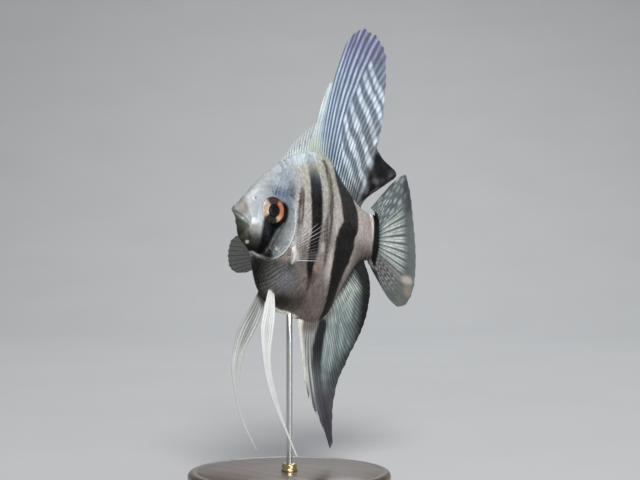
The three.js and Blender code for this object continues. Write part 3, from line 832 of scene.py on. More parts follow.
def body_paint(points):
    """The colour of each place on the body, and how silvery it is."""
    x, y, z = points[..., 0], points[..., 1], points[..., 2]
    xw = x + 0.5 * (cloud(x, z, 2.2, 3) - 0.5)
    zw = z + 0.6 * (cloud(x, z, 1.6, 4) - 0.5)
    far, share = from_path(x, z, GILL_EDGE)
    signed = far * edge_side(x, z)
    eye_bar = dark_level(x, z, band(xw, zw, EYE_BAR, 0.9))
    ground = lay_breast(flank_ground(x, z), x, z)
    ground = lay_gill_cover(ground, x, z, signed)
    ground, bars = lay_bars(ground, x, z, xw, zw)
    ground = lay_cheek(lay_crown(ground, x, z), x, y, z)
    ground, cheek_dark, clean = lay_face(ground, x, y, z, signed, eye_bar)
    ground = lay_fine_lines(ground, x, z, signed, share)
    dark = np.maximum(np.clip(np.maximum(bars, eye_bar), 0, 1), cheek_dark)
    dark = np.maximum(dark, 0.6 * breast_mask(x, z) * ramp(24, 15.5, x))
    silver = 0.28 * clean
    return ground, np.clip(silver + (0.85 - silver) * dark, 0.02, 1)


print("silver on the gill cover:", np.round(body_paint(np.array([24.0, -7.0, 0.0]))[1], 2))

# %% [markdown]
# ## One skin over seven solids
# Where the solids meet there are thin cuts, which a real fish doesn't have. One grid of rings,
# from the lips to the root of the tail, covers them all. It lies a little inside the solids, by
# the depth of the scales, and is finest at the mouth. The relief is then pushed in or out along
# the skin's own direction at each point.

# %% Skin
SKIN_DEPTH = 0.14
HALF_RING = 184


def skin_grid():
    spans = [(-1.1, 5.0, 52), (5.0, 14.0, 40), (14.0, 32.0, 62), (32.0, 87.0, 96)]
    xs = np.concatenate([np.linspace(a, b, n, endpoint=False) for a, b, n in spans] + [[87.0]])
    t = -1 + 2 * np.arange(HALF_RING) / HALF_RING
    rising = 0.7 * np.arcsin(t) + 0.3 * t * pi / 2
    falling = 0.7 * np.arcsin(-t) + 0.3 * -t * pi / 2
    angles = np.concatenate([rising, pi - falling])
    grid = section_point(xs[:, None], angles[None, :], SKIN_DEPTH)
    middle = grid[[0, -1]].mean(axis=1)
    nose, tail = [], []
    for q in (0.85, 0.6, 0.3):
        ring = middle[0] + (grid[0] - middle[0]) * sqrt(1 - (1 - q) ** 2)
        nose.insert(0, ring - [0.3 * (1 - q), 0, 0])
        ring = grid[-1] * [1, sqrt(1 - (1 - q) ** 2), 1]
        tail.append(ring + [0.8 * (1 - q), 0, 0])
    return np.concatenate([np.array(nose), grid, np.array(tail)])


def close_rings(grid):
    rings, around = grid.shape[:2]
    first = np.arange((rings - 1) * around).reshape(rings - 1, around)
    nxt = np.roll(first, -1, axis=1)
    quads = np.stack([first, nxt, nxt + around, first + around], -1).reshape(-1, 4)
    points = np.concatenate([grid.reshape(-1, 3), [grid[0].mean(axis=0), grid[-1].mean(axis=0)]])
    hub = rings * around
    j = np.arange(around)
    start = [(int(b), int(a), hub) for a, b in zip(j, np.roll(j, -1))]
    last = j + (rings - 1) * around
    end = [(int(a), int(b), hub + 1) for a, b in zip(last, np.roll(last, -1))]
    return points, quads.tolist() + start + end


grid = skin_grid()
along = np.gradient(grid, axis=0)
ringed = np.concatenate([grid[:, -1:], grid, grid[:, :1]], axis=1)
around_step = (ringed[:, 2:] - ringed[:, :-2]) / 2
out = unit(np.cross(around_step, along))
MIDDLE_RING, NEAR_SIDE = 100, 5
if (out[MIDDLE_RING, NEAR_SIDE] * grid[MIDDLE_RING, NEAR_SIDE])[1] < 0:
    out = -out
grid = grid + out * relief(grid)[..., None]
skin_points, skin_faces = close_rings(grid)
skin_mesh = mesh_from("fish_skin", to_world(skin_points), skin_faces)
skin_colours, skin_silver = body_paint(skin_points)
store_paint(skin_mesh, skin_colours)
store(skin_mesh, "silver", skin_silver)
print("skin triangles:", sum(len(f) - 2 for f in skin_faces))

# %% [markdown]
# ## The skin's finish
# Wet fish skin is a clear, glossy film over silver. The paint gives the colour, a fine noise
# breaks it into the speckle of pigment cells, and the silver attribute turns into metal under a
# thin coat. Bump adds pores and the faint pits of the bare head.


# %% Fish finishes
CELL_SCALE = 900.0


def speckled(tree, shader, fine_scale, broad_scale, speckle, fine_roughness=0.5):
    """Varies the paint with a fine and a broad noise together; returns fine noise and paint."""
    place = node(tree, "ShaderNodeTexCoord").outputs["Object"]
    fine = node(tree, "ShaderNodeTexNoise", {"Vector": place, "Scale": fine_scale, "Detail": 4.0,
                                             "Roughness": fine_roughness})
    broad = node(tree, "ShaderNodeTexNoise", {"Vector": place, "Scale": broad_scale, "Detail": 3.0})
    both = maths(tree, "ADD", fine, broad)
    paint = vary_paint(tree, shader, both, (0.75, 1.25), (1 - speckle, 1 + speckle))
    return place, fine, paint


def fish_finish(name, roughness, coat, speckle=0.16, bump=0.06):
    material, tree, shader = principled(name, {
        "Coat Weight": coat, "Coat Roughness": 0.2, "Specular IOR Level": 0.08,
    })
    place, fine, _ = speckled(tree, shader, CELL_SCALE, CELL_SCALE / 7, speckle, 0.65)
    silver = node(tree, "ShaderNodeAttribute", attribute_name="silver").outputs["Fac"]
    tree.links.new(silver, shader.inputs["Metallic"])
    rough = node(tree, "ShaderNodeMapRange", {
        "Value": fine, "From Min": 0.3, "From Max": 0.7,
        "To Min": roughness - 0.07, "To Max": roughness + 0.09,
    })
    tree.links.new(rough.outputs[0], shader.inputs["Roughness"])
    pores = node(tree, "ShaderNodeTexVoronoi", {"Vector": place, "Scale": CELL_SCALE * 1.6})
    height = maths(tree, "ADD", fine, pores.outputs["Distance"])
    raise_by(tree, shader, height, bump * 4, 0.00008)
    return material


skin_material = fish_finish("wet_silver_skin", 0.42, 0.03)
skin = object_from(skin_mesh, skin_material)
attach(skin, "root")
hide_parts("head", "upper_jaw", "lower_jaw", "trunk", "tail_base",
            "gill_cover_left", "gill_cover_right")
print("skin finish:", skin_material.name)

# %% [markdown]
# ## The eyes
# A fish's eye is a flat-fronted ball: a black lens that bulges through the pupil, an iris like a
# shallow copper dish, and a clear cornea over both. A painted ball would look flat from the
# side, so the eye is turned in three steps: the ball with iris and lens as one revolved shape,
# the cornea as a second, thin dome, and a fine raised lid of skin that is part of the body.

# %% Shape of the eye
EYE_RADIUS, PUPIL_RADIUS, CORNEA_RADIUS = 5.5, 2.75, 5.9
EYE_AROUND = 96


def revolved(profile, side):
    """Turns (radius, height) pairs about the eye's axis; closed at both ends on the axis."""
    centre, back_axis, out_axis = eye_frame(side)
    angle = np.arange(EYE_AROUND) / EYE_AROUND * 2 * pi
    ring = (np.cos(angle)[:, None] * back_axis + np.sin(angle)[:, None] * [0, 0, 1])
    rings = [centre + ring * r + out_axis * h for r, h in profile[1:-1]]
    points, faces = close_rings(np.array(rings))
    points[-2] = centre + out_axis * profile[0][1]
    points[-1] = centre + out_axis * profile[-1][1]
    if side < 0:
        faces = [tuple(reversed(face)) for face in faces]
    return points, faces


def dome(radius):
    return EYE["depth"] * sqrt(max(1 - (radius / EYE["radius"]) ** 2, 0))


def eyeball_profile():
    profile = [(0, 2.36)]
    profile += [(r, 2.36 - 0.42 * (r / PUPIL_RADIUS) ** 2.6) for r in np.linspace(0.3, 2.6, 9)]
    profile += [(PUPIL_RADIUS, 1.82), (2.86, 1.7), (3.0, 1.64)]
    profile += [(r, 1.64 + 0.14 * sin((r - 3.0) / 2.5 * pi) - 0.16 * (r - 3.0))
                for r in np.linspace(3.2, EYE_RADIUS, 14)]
    profile += [(5.65, 1.14), (5.8, 0.9), (5.85, 0.3), (5.5, -0.5), (3.5, -1.4), (0, -1.7)]
    return profile


print("points on the eye's outline:", len(eyeball_profile()))

# %% [markdown]
# ## The iris, the cornea and the pieces
# The iris is copper, palest in front, flecked with fibres that run out from the lens, and the
# dark bar of the head crosses it above and below. The cornea is nearly clear in the middle and
# catches light at its edge, so it only shows as a glint.


# %% Eyes
def eye_paint(points, side):
    a, b, _ = eye_plane(points, side)
    radius, angle = np.hypot(a, b), np.arctan2(b, a)
    fibre = cloud(angle * 14, radius * 1.1, 1, 11)
    forward = ramp(-0.2, 0.6, -np.cos(angle))
    shade = lay((214, 134, 92), [
        (ramp(-0.1, -0.9, np.sin(angle)) * (1 - forward), (248, 206, 164)),
        (forward, (204, 176, 152)),
        (forward * ramp(3.6, 2.9, radius), (232, 208, 178)),
        (0.35 * ramp(0.4, 0.9, fibre), (168, 92, 60)),
        (0.8 * (1 - forward) * groove(radius - 2.95, 0.28), (54, 30, 26)),
        (0.7 * forward * ramp(4.7, 5.4, radius), (196, 198, 200)),
    ])
    top_bar = ramp(0.78, 0.45, np.abs(angle - radians(98)))
    low_bar = ramp(0.9, 0.52, np.abs(angle + radians(99)))
    shade = lay(shade, [
        (0.93 * top_bar, (44, 32, 32)),
        (0.98 * low_bar, (8, 7, 8)),
    ])
    rim = ramp(5.15, 5.45, radius) * (1 - 0.9 * forward)
    return lay(shade, [
        (rim, (18, 15, 17)),
        (ramp(2.88, 2.74, radius), (3, 3, 5)),
    ])


eye_material, tree, shader = principled("copper_iris", {
    "Metallic": 0.0, "Roughness": 0.32, "Specular IOR Level": 0.2, "Coat Weight": 0.25,
    "Coat Roughness": 0.05,
})
place = node(tree, "ShaderNodeTexCoord").outputs["Object"]
glitter = node(tree, "ShaderNodeTexNoise", {"Vector": place, "Scale": 3200.0, "Detail": 2.0})
vary_paint(tree, shader, glitter, (0.35, 0.65), (0.82, 1.2))
raise_by(tree, shader, glitter, 0.2, 0.00005)

cornea_material, tree, shader = principled("clear_cornea", {
    "Base Color": (0.01, 0.01, 0.012, 1), "Roughness": 0.02, "Coat Weight": 0.5,
    "Coat Roughness": 0.01,
})
facing = node(tree, "ShaderNodeLayerWeight", {"Blend": 0.25})
film = node(tree, "ShaderNodeTexNoise", {"Scale": 900.0})
clear = node(tree, "ShaderNodeMapRange", {"Value": facing.outputs["Facing"], "To Min": 0.06,
                                          "To Max": 0.34})
uneven = maths(tree, "MULTIPLY_ADD", film, 0.03, clear)
tree.links.new(uneven.outputs[0], shader.inputs["Alpha"])

for word, side in SIDES:
    points, faces = revolved(eyeball_profile(), side)
    mesh = mesh_from("eyeball_" + word, to_world(points), faces)
    store_paint(mesh, eye_paint(points, side))
    eyeball = object_from(mesh, eye_material)
    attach(eyeball, "root")
    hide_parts("eye_" + word)
    outer = [(r, dome(r) + 0.02) for r in np.linspace(0, CORNEA_RADIUS, 18)]
    inner = [(r, dome(r) - 0.1) for r in np.linspace(CORNEA_RADIUS, 0, 18)]
    points, faces = revolved(outer + inner, side)
    cornea = object_from(mesh_from("cornea_" + word, to_world(points), faces), cornea_material)
    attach(cornea, "root")
print("eye across:", 2 * EYE_RADIUS, "mm, lens across:", 2 * PUPIL_RADIUS, "mm")

# %% [markdown]
# ## How a fin is made
# A fin is a fan of bony rays under a film of skin. Two pieces make each fin: a membrane, woven
# as a closed sheet over a grid that runs from ray to ray and from foot to tip, and the rays
# themselves, drawn as lines and given their round section by Geometry Nodes. Rays of the soft
# part split in two and again in two towards the margin, and the film is notched between tips.


# %% The fan of rays
def fan_of(rays, tips, foot_at, bow, sway_at):
    """Returns a function from ray number and share of length to a point in fish space."""
    tip_x = smooth_curve([(ray, x) for ray, x, _ in tips])
    tip_z = smooth_curve([(ray, z) for ray, _, z in tips])

    def place(ray, v, reach_ray=None):
        share = (ray - 1) / (rays - 1)
        foot = foot_at(share)
        span_x, span_z = tip_x(ray) - foot[0], tip_z(ray) - foot[1]
        if reach_ray is not None:
            near = foot_at((reach_ray - 1) / (rays - 1))
            wanted = np.hypot(tip_x(reach_ray) - near[0], tip_z(reach_ray) - near[1])
            v = v * wanted / np.hypot(span_x, span_z)
        lean = 4 * v * (1 - v) * bow
        return np.stack([foot[0] + span_x * v + span_z * lean, sway_at(share, v),
                         foot[1] + span_z * v - span_x * lean], -1)

    return place


def ray_offsets(rays, seed, loose):
    return 1 + loose * (np.random.default_rng(seed).random(rays + 2) - 0.5)


def membrane(name, place, rays, settings, paint, finish):
    """A closed thin sheet over the whole fan. Between rays it bows out and its margin notches."""
    per_gap, steps = settings["per_gap"], settings["steps"]
    ray = np.linspace(1, rays, (rays - 1) * per_gap + 1)
    v = np.linspace(0, 1, steps + 1) ** 0.92
    frac = ray - np.floor(ray)
    loose = ray_offsets(rays, settings["seed"], settings["loose"])
    index = np.floor(ray).astype(int)
    tip = loose[index] * (1 - frac) + loose[np.minimum(index + 1, rays)] * frac
    notch = settings["notch"](ray) * (4 * frac * (1 - frac)) ** 0.6
    stepped = index + ramp(0.45, 0.95, frac)
    reach = ray + (stepped - ray) * settings["stepping"](ray)
    R, V = np.meshgrid(ray, v, indexing="ij")
    V = V * (tip - notch)[:, None]
    points = place(R, V, np.broadcast_to(reach[:, None], R.shape))
    face = unit(np.cross(np.gradient(points, axis=0), np.gradient(points, axis=1)))
    bowed = settings["bow_out"] * np.sin(2 * pi * R) * (0.3 + 0.7 * V)
    points = points + face * bowed[..., None]
    half = 0.5 * (settings["root"] * np.clip(1 - V, 0, 1) ** 1.5 + settings["edge"])
    half = half * (0.65 + 0.35 * np.cos(2 * pi * R)) + 0.02
    rows, columns = R.shape
    a, b = points + face * half[..., None], points - face * half[..., None]
    both = np.concatenate([a.reshape(-1, 3), b.reshape(-1, 3)])
    first = (np.arange(rows - 1)[:, None] * columns + np.arange(columns - 1)).ravel()
    top = np.stack([first, first + columns, first + columns + 1, first + 1], -1)
    under = top[:, ::-1] + rows * columns
    rim = ([k for k in range(columns - 1)]
           + [k * columns + columns - 1 for k in range(rows - 1)]
           + [(rows - 1) * columns + k for k in range(columns - 1, 0, -1)]
           + [k * columns for k in range(rows - 1, 0, -1)])
    side = [(p, q, q + rows * columns, p + rows * columns) for p, q in zip(rim, rim[1:] + rim[:1])]
    faces = top[:, ::-1].tolist() + under[:, ::-1].tolist() + [s[::-1] for s in side]
    mesh = mesh_from(name, to_world(both), faces)
    shades, opacity = paint(both, np.tile(R.ravel(), 2), np.tile(V.ravel(), 2), False)
    store_paint(mesh, shades, opacity)
    orient_out(mesh)
    return object_from(mesh, finish)


def orient_out(mesh):
    """Turns every face over when the closed mesh came out inside out."""
    count = len(mesh.loop_triangles) or (mesh.calc_loop_triangles() or len(mesh.loop_triangles))
    corners = np.zeros(count * 3, int)
    mesh.loop_triangles.foreach_get("vertices", corners)
    spots = np.zeros(len(mesh.vertices) * 3)
    mesh.vertices.foreach_get("co", spots)
    a, b, c = spots.reshape(-1, 3)[corners.reshape(-1, 3)].transpose(1, 0, 2)
    if np.einsum("ij,ij->i", a, np.cross(b, c)).sum() < 0:
        mesh.flip_normals()


print("the film of a fin is one closed sheet; its rays follow")

# %% [markdown]
# ## Rays from lines, by Geometry Nodes
# Each ray is only a line of points that carries its own thickness, so one small tree serves all
# seven fins: lines become curves, a circle runs along them, scaled at every point by the stored
# thickness, and the result is realized and given its finish. The tree's inputs set the sides of
# the section and a factor for all thicknesses.


# %% Trees, and the one that rounds the rays
def new_tree(name, inputs, output):
    """A tree with its named inputs. Returns it, its start and each input's identifier."""
    tree = bpy.data.node_groups.new(name, "GeometryNodeTree")
    identifiers = {}
    for label, kind in inputs.items():
        socket = tree.interface.new_socket(label, in_out="INPUT", socket_type="NodeSocket" + kind)
        identifiers[label] = socket.identifier
    tree.interface.new_socket(output, in_out="OUTPUT", socket_type="NodeSocketGeometry")
    return tree, node(tree, "NodeGroupInput"), identifiers


def end_tree(tree, geometry, material):
    """Makes instances real, gives them their material and sends them out."""
    real = node(tree, "GeometryNodeRealizeInstances", {"Geometry": geometry})
    done = node(tree, "GeometryNodeSetMaterial", {"Geometry": real, "Material": material})
    node(tree, "NodeGroupOutput", {0: done})


def rounding_tree(material):
    tree, start, inputs = new_tree("round_rays", {
        "Lines": "Geometry", "Sides": "Int", "Thickness factor": "Float",
    }, "Rays")
    lines = node(tree, "GeometryNodeMeshToCurve", {"Mesh": start.outputs["Lines"]})
    circle = node(tree, "GeometryNodeCurvePrimitiveCircle",
                  {"Resolution": start.outputs["Sides"], "Radius": 1.0})
    thick = node(tree, "GeometryNodeInputNamedAttribute", {"Name": "thick"}, data_type="FLOAT")
    radius = maths(tree, "MULTIPLY", thick, start.outputs["Thickness factor"])
    tube = node(tree, "GeometryNodeCurveToMesh", {
        "Curve": lines, "Profile Curve": circle, "Scale": radius, "Fill Caps": True,
    })
    smooth = node(tree, "GeometryNodeSetShadeSmooth", {"Geometry": tube})
    end_tree(tree, smooth, material)
    return tree, inputs


def made_by(tree, values, mesh, name):
    """Runs a tree on a mesh and returns the plain mesh that it makes."""
    source = object_from(mesh)
    modifier = source.modifiers.new("make", "NODES")
    modifier.node_group = tree
    for identifier, value in values.items():
        modifier[identifier] = value
    graph = bpy.context.evaluated_depsgraph_get()
    made = bpy.data.meshes.new_from_object(source.evaluated_get(graph))
    made.name = name
    source.modifiers.remove(modifier)
    bpy.data.objects.remove(source)
    return made


print("inputs of the tree for rays: lines, sides, thickness factor")

# %% [markdown]
# ## Where the rays branch
# A spine is one stiff taper. A soft ray is made of short segments, so its thickness beads, and
# it splits twice on its way out. All its branches are drawn as lines that leave the stem a
# little, each from the place where it parts, so that they overlap and look grown together.


# %% Branching rays
RAY_STEPS, RAY_SIDES = 44, 5


def ray_lines(place, rays, settings):
    """The polylines of all rays and their branches, with thickness, ray number and share."""
    spots, edges, facts = [], [], []
    loose = ray_offsets(rays, settings["seed"], settings["loose"])

    def draw(ray_values, v_values, thickness):
        start = len(spots)
        points = place(ray_values, v_values, ray_values)
        for k, point in enumerate(points):
            spots.append(point)
            facts.append((thickness[k], ray_values[k], v_values[k]))
            if k:
                edges.append((start + k - 1, start + k))

    for ray in range(1, rays + 1):
        tip, root = loose[ray], settings["thick_root"]
        if ray <= settings["spines"]:
            v = np.linspace(0, tip, RAY_STEPS // 2)
            draw(np.full(len(v), float(ray)), v, root * 1.25 * (1 - 0.8 * v / tip) + 0.02)
            continue
        split, again = settings["splits"]
        spread = settings["spread"]
        for twig in (-1, 1):
            for end in (-1, 1):
                v = np.linspace(0.0, tip, RAY_STEPS)
                part = (ramp(split, split + 0.45, v) * twig + 0.5 * ramp(again, 1.05, v) * end)
                thickness = root * (1 - 0.62 * v) * (1 - 0.34 * ramp(split, 1, v))
                beads = 1 + 0.10 * np.cos(v * settings["beads"] * 2 * pi)
                keep = v >= (0.0 if twig < 0 and end < 0 else split - 0.02 if end < 0
                             else again - 0.02)
                numbers = np.clip(ray + spread * part, 1, rays)
                draw(numbers[keep], v[keep], (thickness * beads)[keep])
    return np.array(spots), edges, np.array(facts)


def fin_rays(name, place, rays, settings, paint, finish):
    spots, edges, facts = ray_lines(place, rays, settings)
    lines = bpy.data.meshes.new("lines")
    lines.from_pydata(to_world(spots), edges, [])
    store(lines, "thick", facts[:, 0] / 1000)
    store(lines, "ray", facts[:, 1])
    store(lines, "share", facts[:, 2])
    tree, inputs = rounding_tree(finish)
    mesh = made_by(tree, {inputs["Sides"]: RAY_SIDES, inputs["Thickness factor"]: 1.0}, lines, name)
    shades, opacity = paint(in_fish_space(mesh), stored_number(mesh, "ray"),
                            stored_number(mesh, "share"), True)
    store_paint(mesh, shades, opacity)
    orient_out(mesh)
    return object_from(mesh, finish)


print("points along a ray:", RAY_STEPS, " sides:", RAY_SIDES)

# %% [markdown]
# ## Fin finishes
# Film and rays share one kind of finish: satin, thin, partly see-through, with the light that
# falls on the far side glowing through. The paint attribute holds colour and, in its fourth
# channel, how much the film hides what is behind it.


# %% Fin finishes
def fin_finish(name, roughness, speckle, sheer=True):
    material, tree, shader = principled(name, {
        "Roughness": roughness, "Specular IOR Level": 0.12, "Coat Weight": 0.02,
        "Coat Roughness": 0.25,
    })
    _, fine, paint = speckled(tree, shader, 1100.0, 170.0, speckle)
    if sheer:
        tree.links.new(paint.outputs["Alpha"], shader.inputs["Alpha"])
    raise_by(tree, shader, fine, 0.25, 0.00006)
    return material


film_finish = fin_finish("fin_film", 0.42, 0.14)
ray_finish = fin_finish("fin_rays", 0.38, 0.12)
white_finish = fin_finish("milky_fin", 0.4, 0.06, sheer=False)


def always(value):
    return lambda ray: value + 0 * ray


def flat_view(points):
    return points[:, 0], points[:, 2]


print("fin finishes:", film_finish.name, ray_finish.name, white_finish.name)

# %% [markdown]
# ## The dorsal fin
# The tall sail: twelve low spines that end free, like a comb, then soft rays that rise in steps
# to the peak and fall to a dusky rear lobe. Silver-blue light lies in the film between the rays,
# in long streaks in front, broken behind into dashes that line up in slanting rows. First comes
# the shape: the tips of the rays, the line of their feet, and how the sail sways from side to side.

# %% Shape of the dorsal fin
DORSAL_TIPS = [
    (1, 23.6, 27.2), (4, 27.4, 33.6), (8, 33.4, 40.2), (11, 39.2, 45.4), (12, 42, 51),
    (13, 43.4, 57.8), (14, 46.2, 65.6), (15, 49.2, 69), (16, 51.4, 77), (17, 53.8, 86.6),
    (18, 57.8, 91.9), (19.5, 62.6, 95.7), (21, 68, 95.4), (23, 74.5, 93.3), (25, 79.2, 86.8),
    (27, 80.4, 77.9), (29.5, 81.2, 67.5), (31.5, 81.2, 56.6), (32.7, 80.2, 48.6),
    (33.6, 79.6, 43.4), (34.4, 84, 39.6), (35.2, 94.4, 34.4), (36.1, 88.8, 28.6), (37, 78, 21),
]
DASH_ROWS = (176.0, 166.5, 154.4, 141.0, 129.0, 117.0, 106.0)
STREAK_END = [
    (59, 24), (58.5, 34), (56.4, 44), (56, 51), (59, 58), (62.2, 65), (64.6, 72), (67.2, 77.5),
    (72, 86), (76, 92),
]
DARK_LOBE = [(74.0, 20), (75.6, 25.3), (76.2, 31.3), (78.2, 36.1), (78.6, 44.5), (83, 50)]


def ahead_of(x, z, path):
    """Distance in front of a rising path, negative behind it."""
    xs, zs = np.array(path, float).T
    return np.interp(z, zs, xs) - x


def dorsal_foot(share):
    x = 22.8 + (73.5 - 22.8) * share + 1.4 * np.sin(pi * np.clip(share * 2 - 1, 0, 1))
    return x, back_line(x) - 1.4


def dorsal_sway(share, v):
    return 1.0 * np.sin(pi * share * 1.5) * v * v + 0.35 * np.sin(7 * share + 4 * v) * v


dorsal_place = fan_of(37, DORSAL_TIPS, dorsal_foot, -0.055, dorsal_sway)
print("tip of the sail at", np.round(dorsal_place(np.array(19.5), np.array(1.0)), 1))

# %% [markdown]
# ## The dorsal fin's colours and pieces
# Two tones, dull over the rays and bright between them, are mixed by a mask of streaks and
# dashes. Each dash is a place where a slanting row crosses the film between two rays, with its
# own strength. The spines in front are pale and clear, the rear lobe is black.


# %% Dorsal fin
def dorsal_paint(points, ray, v, is_ray):
    x, z = flat_view(points)
    height = z - back_line(np.clip(x, 0, 87))
    wobble = 0.16 * (cloud(x, z, 7, 21) - 0.5)
    each = swell(ray + wobble)
    tall = ramp(62, 90, z)
    back = ramp(60, 72, x) * ramp(64, 44, z)
    dull = lay((86, 101, 124), [
        (tall, (86, 89, 112)),
        (back, (76, 76, 76)),
        (0.7 * ramp(76, 80, x) * ramp(48, 60, z), (112, 115, 136)),
    ])
    bright = lay((204, 218, 234), [
        (tall, (156, 162, 190)),
        (back, (196, 206, 208)),
    ])
    front = ahead_of(x, z, STREAK_END)
    dull = lay(dull, [(0.6 * ramp(1, -2, front) * (1 - tall), (92, 101, 108))])
    bright = lay(bright, [(0.8 * ramp(0.5, -1, front), (208, 220, 232))])
    uneven = cloud(x * 1.5, z * 0.22, 3, 23)
    streak = ramp(0.25, 0.85, each) * (0.4 + 0.6 * uneven) * ramp(-1, 1.5, front)
    own = cloud(np.floor(ray) * 1.7, 0 * ray, 1, 22) - 0.5
    slant = 1.37 * x + z + 3 * own + 2 * (cloud(x, z, 5, 25) - 0.5)
    dash = np.zeros(x.shape)
    for number, row in enumerate(DASH_ROWS):
        strength = 0.45 + 0.75 * cloud(np.floor(ray) * 2.9, 0 * ray + 7.3 * number, 1, 27)
        dash = np.maximum(dash, strength * ramp(4.3, 1.4, np.abs(slant - row)))
    dash = np.clip(dash, 0, 1) * (0.4 + 0.6 * ramp(0.06, 0.6, each))
    dash *= ramp(1, -0.5, front)
    between = 0.22 * ramp(0.3, 0.9, each) * ramp(1, -0.5, front)
    between *= 0.5 + cloud(x, z, 4, 26)
    shade = lay(dull, [(np.maximum.reduce([streak, dash, between]), bright)])
    near_base = ramp(16, 3, height)
    shade = lay(shade, [
        (0.8 * near_base * ramp(0.55, 0.1, each) * ramp(44, 50, x), (40, 62, 70)),
        (0.3 * near_base * ramp(46, 50, x), (60, 78, 86)),
        (0.4 * near_base * ramp(0.5, 0.95, each) * ramp(54, 62, x), (190, 202, 202)),
    ])
    lead = ramp(17.4, 14, ray) * ramp(10.5, 12.5, ray)
    shade = lay(shade, [
        (lead * (0.55 + 0.35 * each), (196, 208, 208)),
        (0.6 * ramp(9, 1, height) * ramp(52, 42, x), (150, 158, 134)),
    ])
    combs = ramp(12.6, 11.2, ray)
    shade = lay(shade, [
        (combs * 0.85, (156, 166, 166)),
        (0.6 * combs * ramp(0.5, 0.1, each), (212, 220, 220)),
    ])
    stubs = band(x, z, [(65.4, 23.4, 1), (68.2, 21.2, 1.3), (72.6, 17, 1.2)], 0.5)
    shade = lay(shade, [
        (0.9 * stubs * ramp(0.5, 0.2, each), (10, 11, 14)),
        (0.7 * stubs * ramp(0.5, 0.8, each), (206, 210, 208)),
    ])
    lobe = ramp(1, -1.4, ahead_of(x, z, DARK_LOBE)) * ramp(50, 45, z)
    shade = lay(shade, [
        (0.85 * ramp(8.5, 4, height) * ramp(64, 69, x), (58, 59, 60)),
        (0.97 * lobe, (12, 11, 13)),
    ])
    many = 0.5 - 0.5 * np.cos(10 * pi * (ray + wobble))
    shade = lay(shade, [
        (0.85 * lobe * ramp(0.55, 0, many) * ramp(0.15, 0.65, cloud(x, z, 3, 24)), (84, 82, 84))])
    opacity = 0.97 - 0.65 * combs * ramp(0.3, 0.95, v)
    if is_ray:
        shade = lay(shade, [(0.75 * combs, (214, 220, 222))])
        opacity = np.maximum(opacity, 0.85)
    return shade, np.clip(opacity, 0.1, 1)


DORSAL = {
    "per_gap": 6, "steps": 120, "seed": 5, "loose": 0.018, "root": 1.0, "edge": 0.10,
    "bow_out": 0.05, "thick_root": 0.27, "spines": 12, "splits": (0.34, 0.66), "spread": 0.20,
    "beads": 26, "stepping": lambda ray: ramp(18.5, 16.5, ray),
    "notch": lambda ray: 0.012 + ramp(12.4, 10.8, ray) * (0.35 + 0.4 * (ray // 1 % 2)),
}
dorsal_film = membrane("dorsal_film", dorsal_place, 37, DORSAL, dorsal_paint, film_finish)
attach(dorsal_film, "root")
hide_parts("dorsal_fin")
dorsal_rays = fin_rays("dorsal_rays", dorsal_place, 37, DORSAL, dorsal_paint, ray_finish)
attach(dorsal_rays, "root")
print("dorsal film and rays:", len(dorsal_film.data.polygons), len(dorsal_rays.data.polygons))

# %% [markdown]
# ## The anal fin
# Below, the mirror of the sail, narrower and drawn out to a trailing point. The third bar runs
# on down it as a dark stripe. Behind the stripe the film is ribbed silver-green, and its rear
# edge turns smoky and sheer. Along the rear of its root, under the tail base, painted shade
# darkens the crease.

# %% Anal fin
ANAL_TIPS = [
    (1, 44.8, -45), (2, 46.4, -50), (3, 48.2, -55.6), (4, 50.2, -61.6), (5, 52.4, -68.2),
    (6, 55.8, -74.4), (7, 60.6, -80), (8, 66.2, -86), (9, 70.2, -91.6), (10, 72.6, -95.4),
    (11, 73.2, -92), (12, 72, -85), (14, 70.7, -76), (16, 72.3, -66), (19, 78, -53),
    (22, 84.6, -41.5), (25, 88, -30), (28, 88.4, -20.5), (30, 86.2, -14.4), (32, 82.8, -9.8),
]
ANAL_STRIPE = [
    (58.9, -41, 2.8), (58.3, -46, 3.1), (57.7, -52.9, 3.2), (58.3, -59.5, 3), (60.2, -65.9, 2.5),
    (63.6, -74.3, 2.3), (67.6, -82.5, 2.2), (71.6, -90.8, 1.6),
]
SMOKY_EDGE = [
    (67.4, -72), (70.5, -62), (75.6, -55), (81.6, -47.8), (83.6, -40.7), (84.4, -33.7),
    (84.4, -26.8), (81.6, -20.2), (75, -13.5),
]


def anal_foot(share):
    x = 43.8 + (79.0 - 43.8) * share
    return x, belly_line(x) + 1.4


def anal_sway(share, v):
    return -1.0 * np.sin(pi * share * 1.5) * v * v + 0.35 * np.sin(6 * share - 4 * v) * v


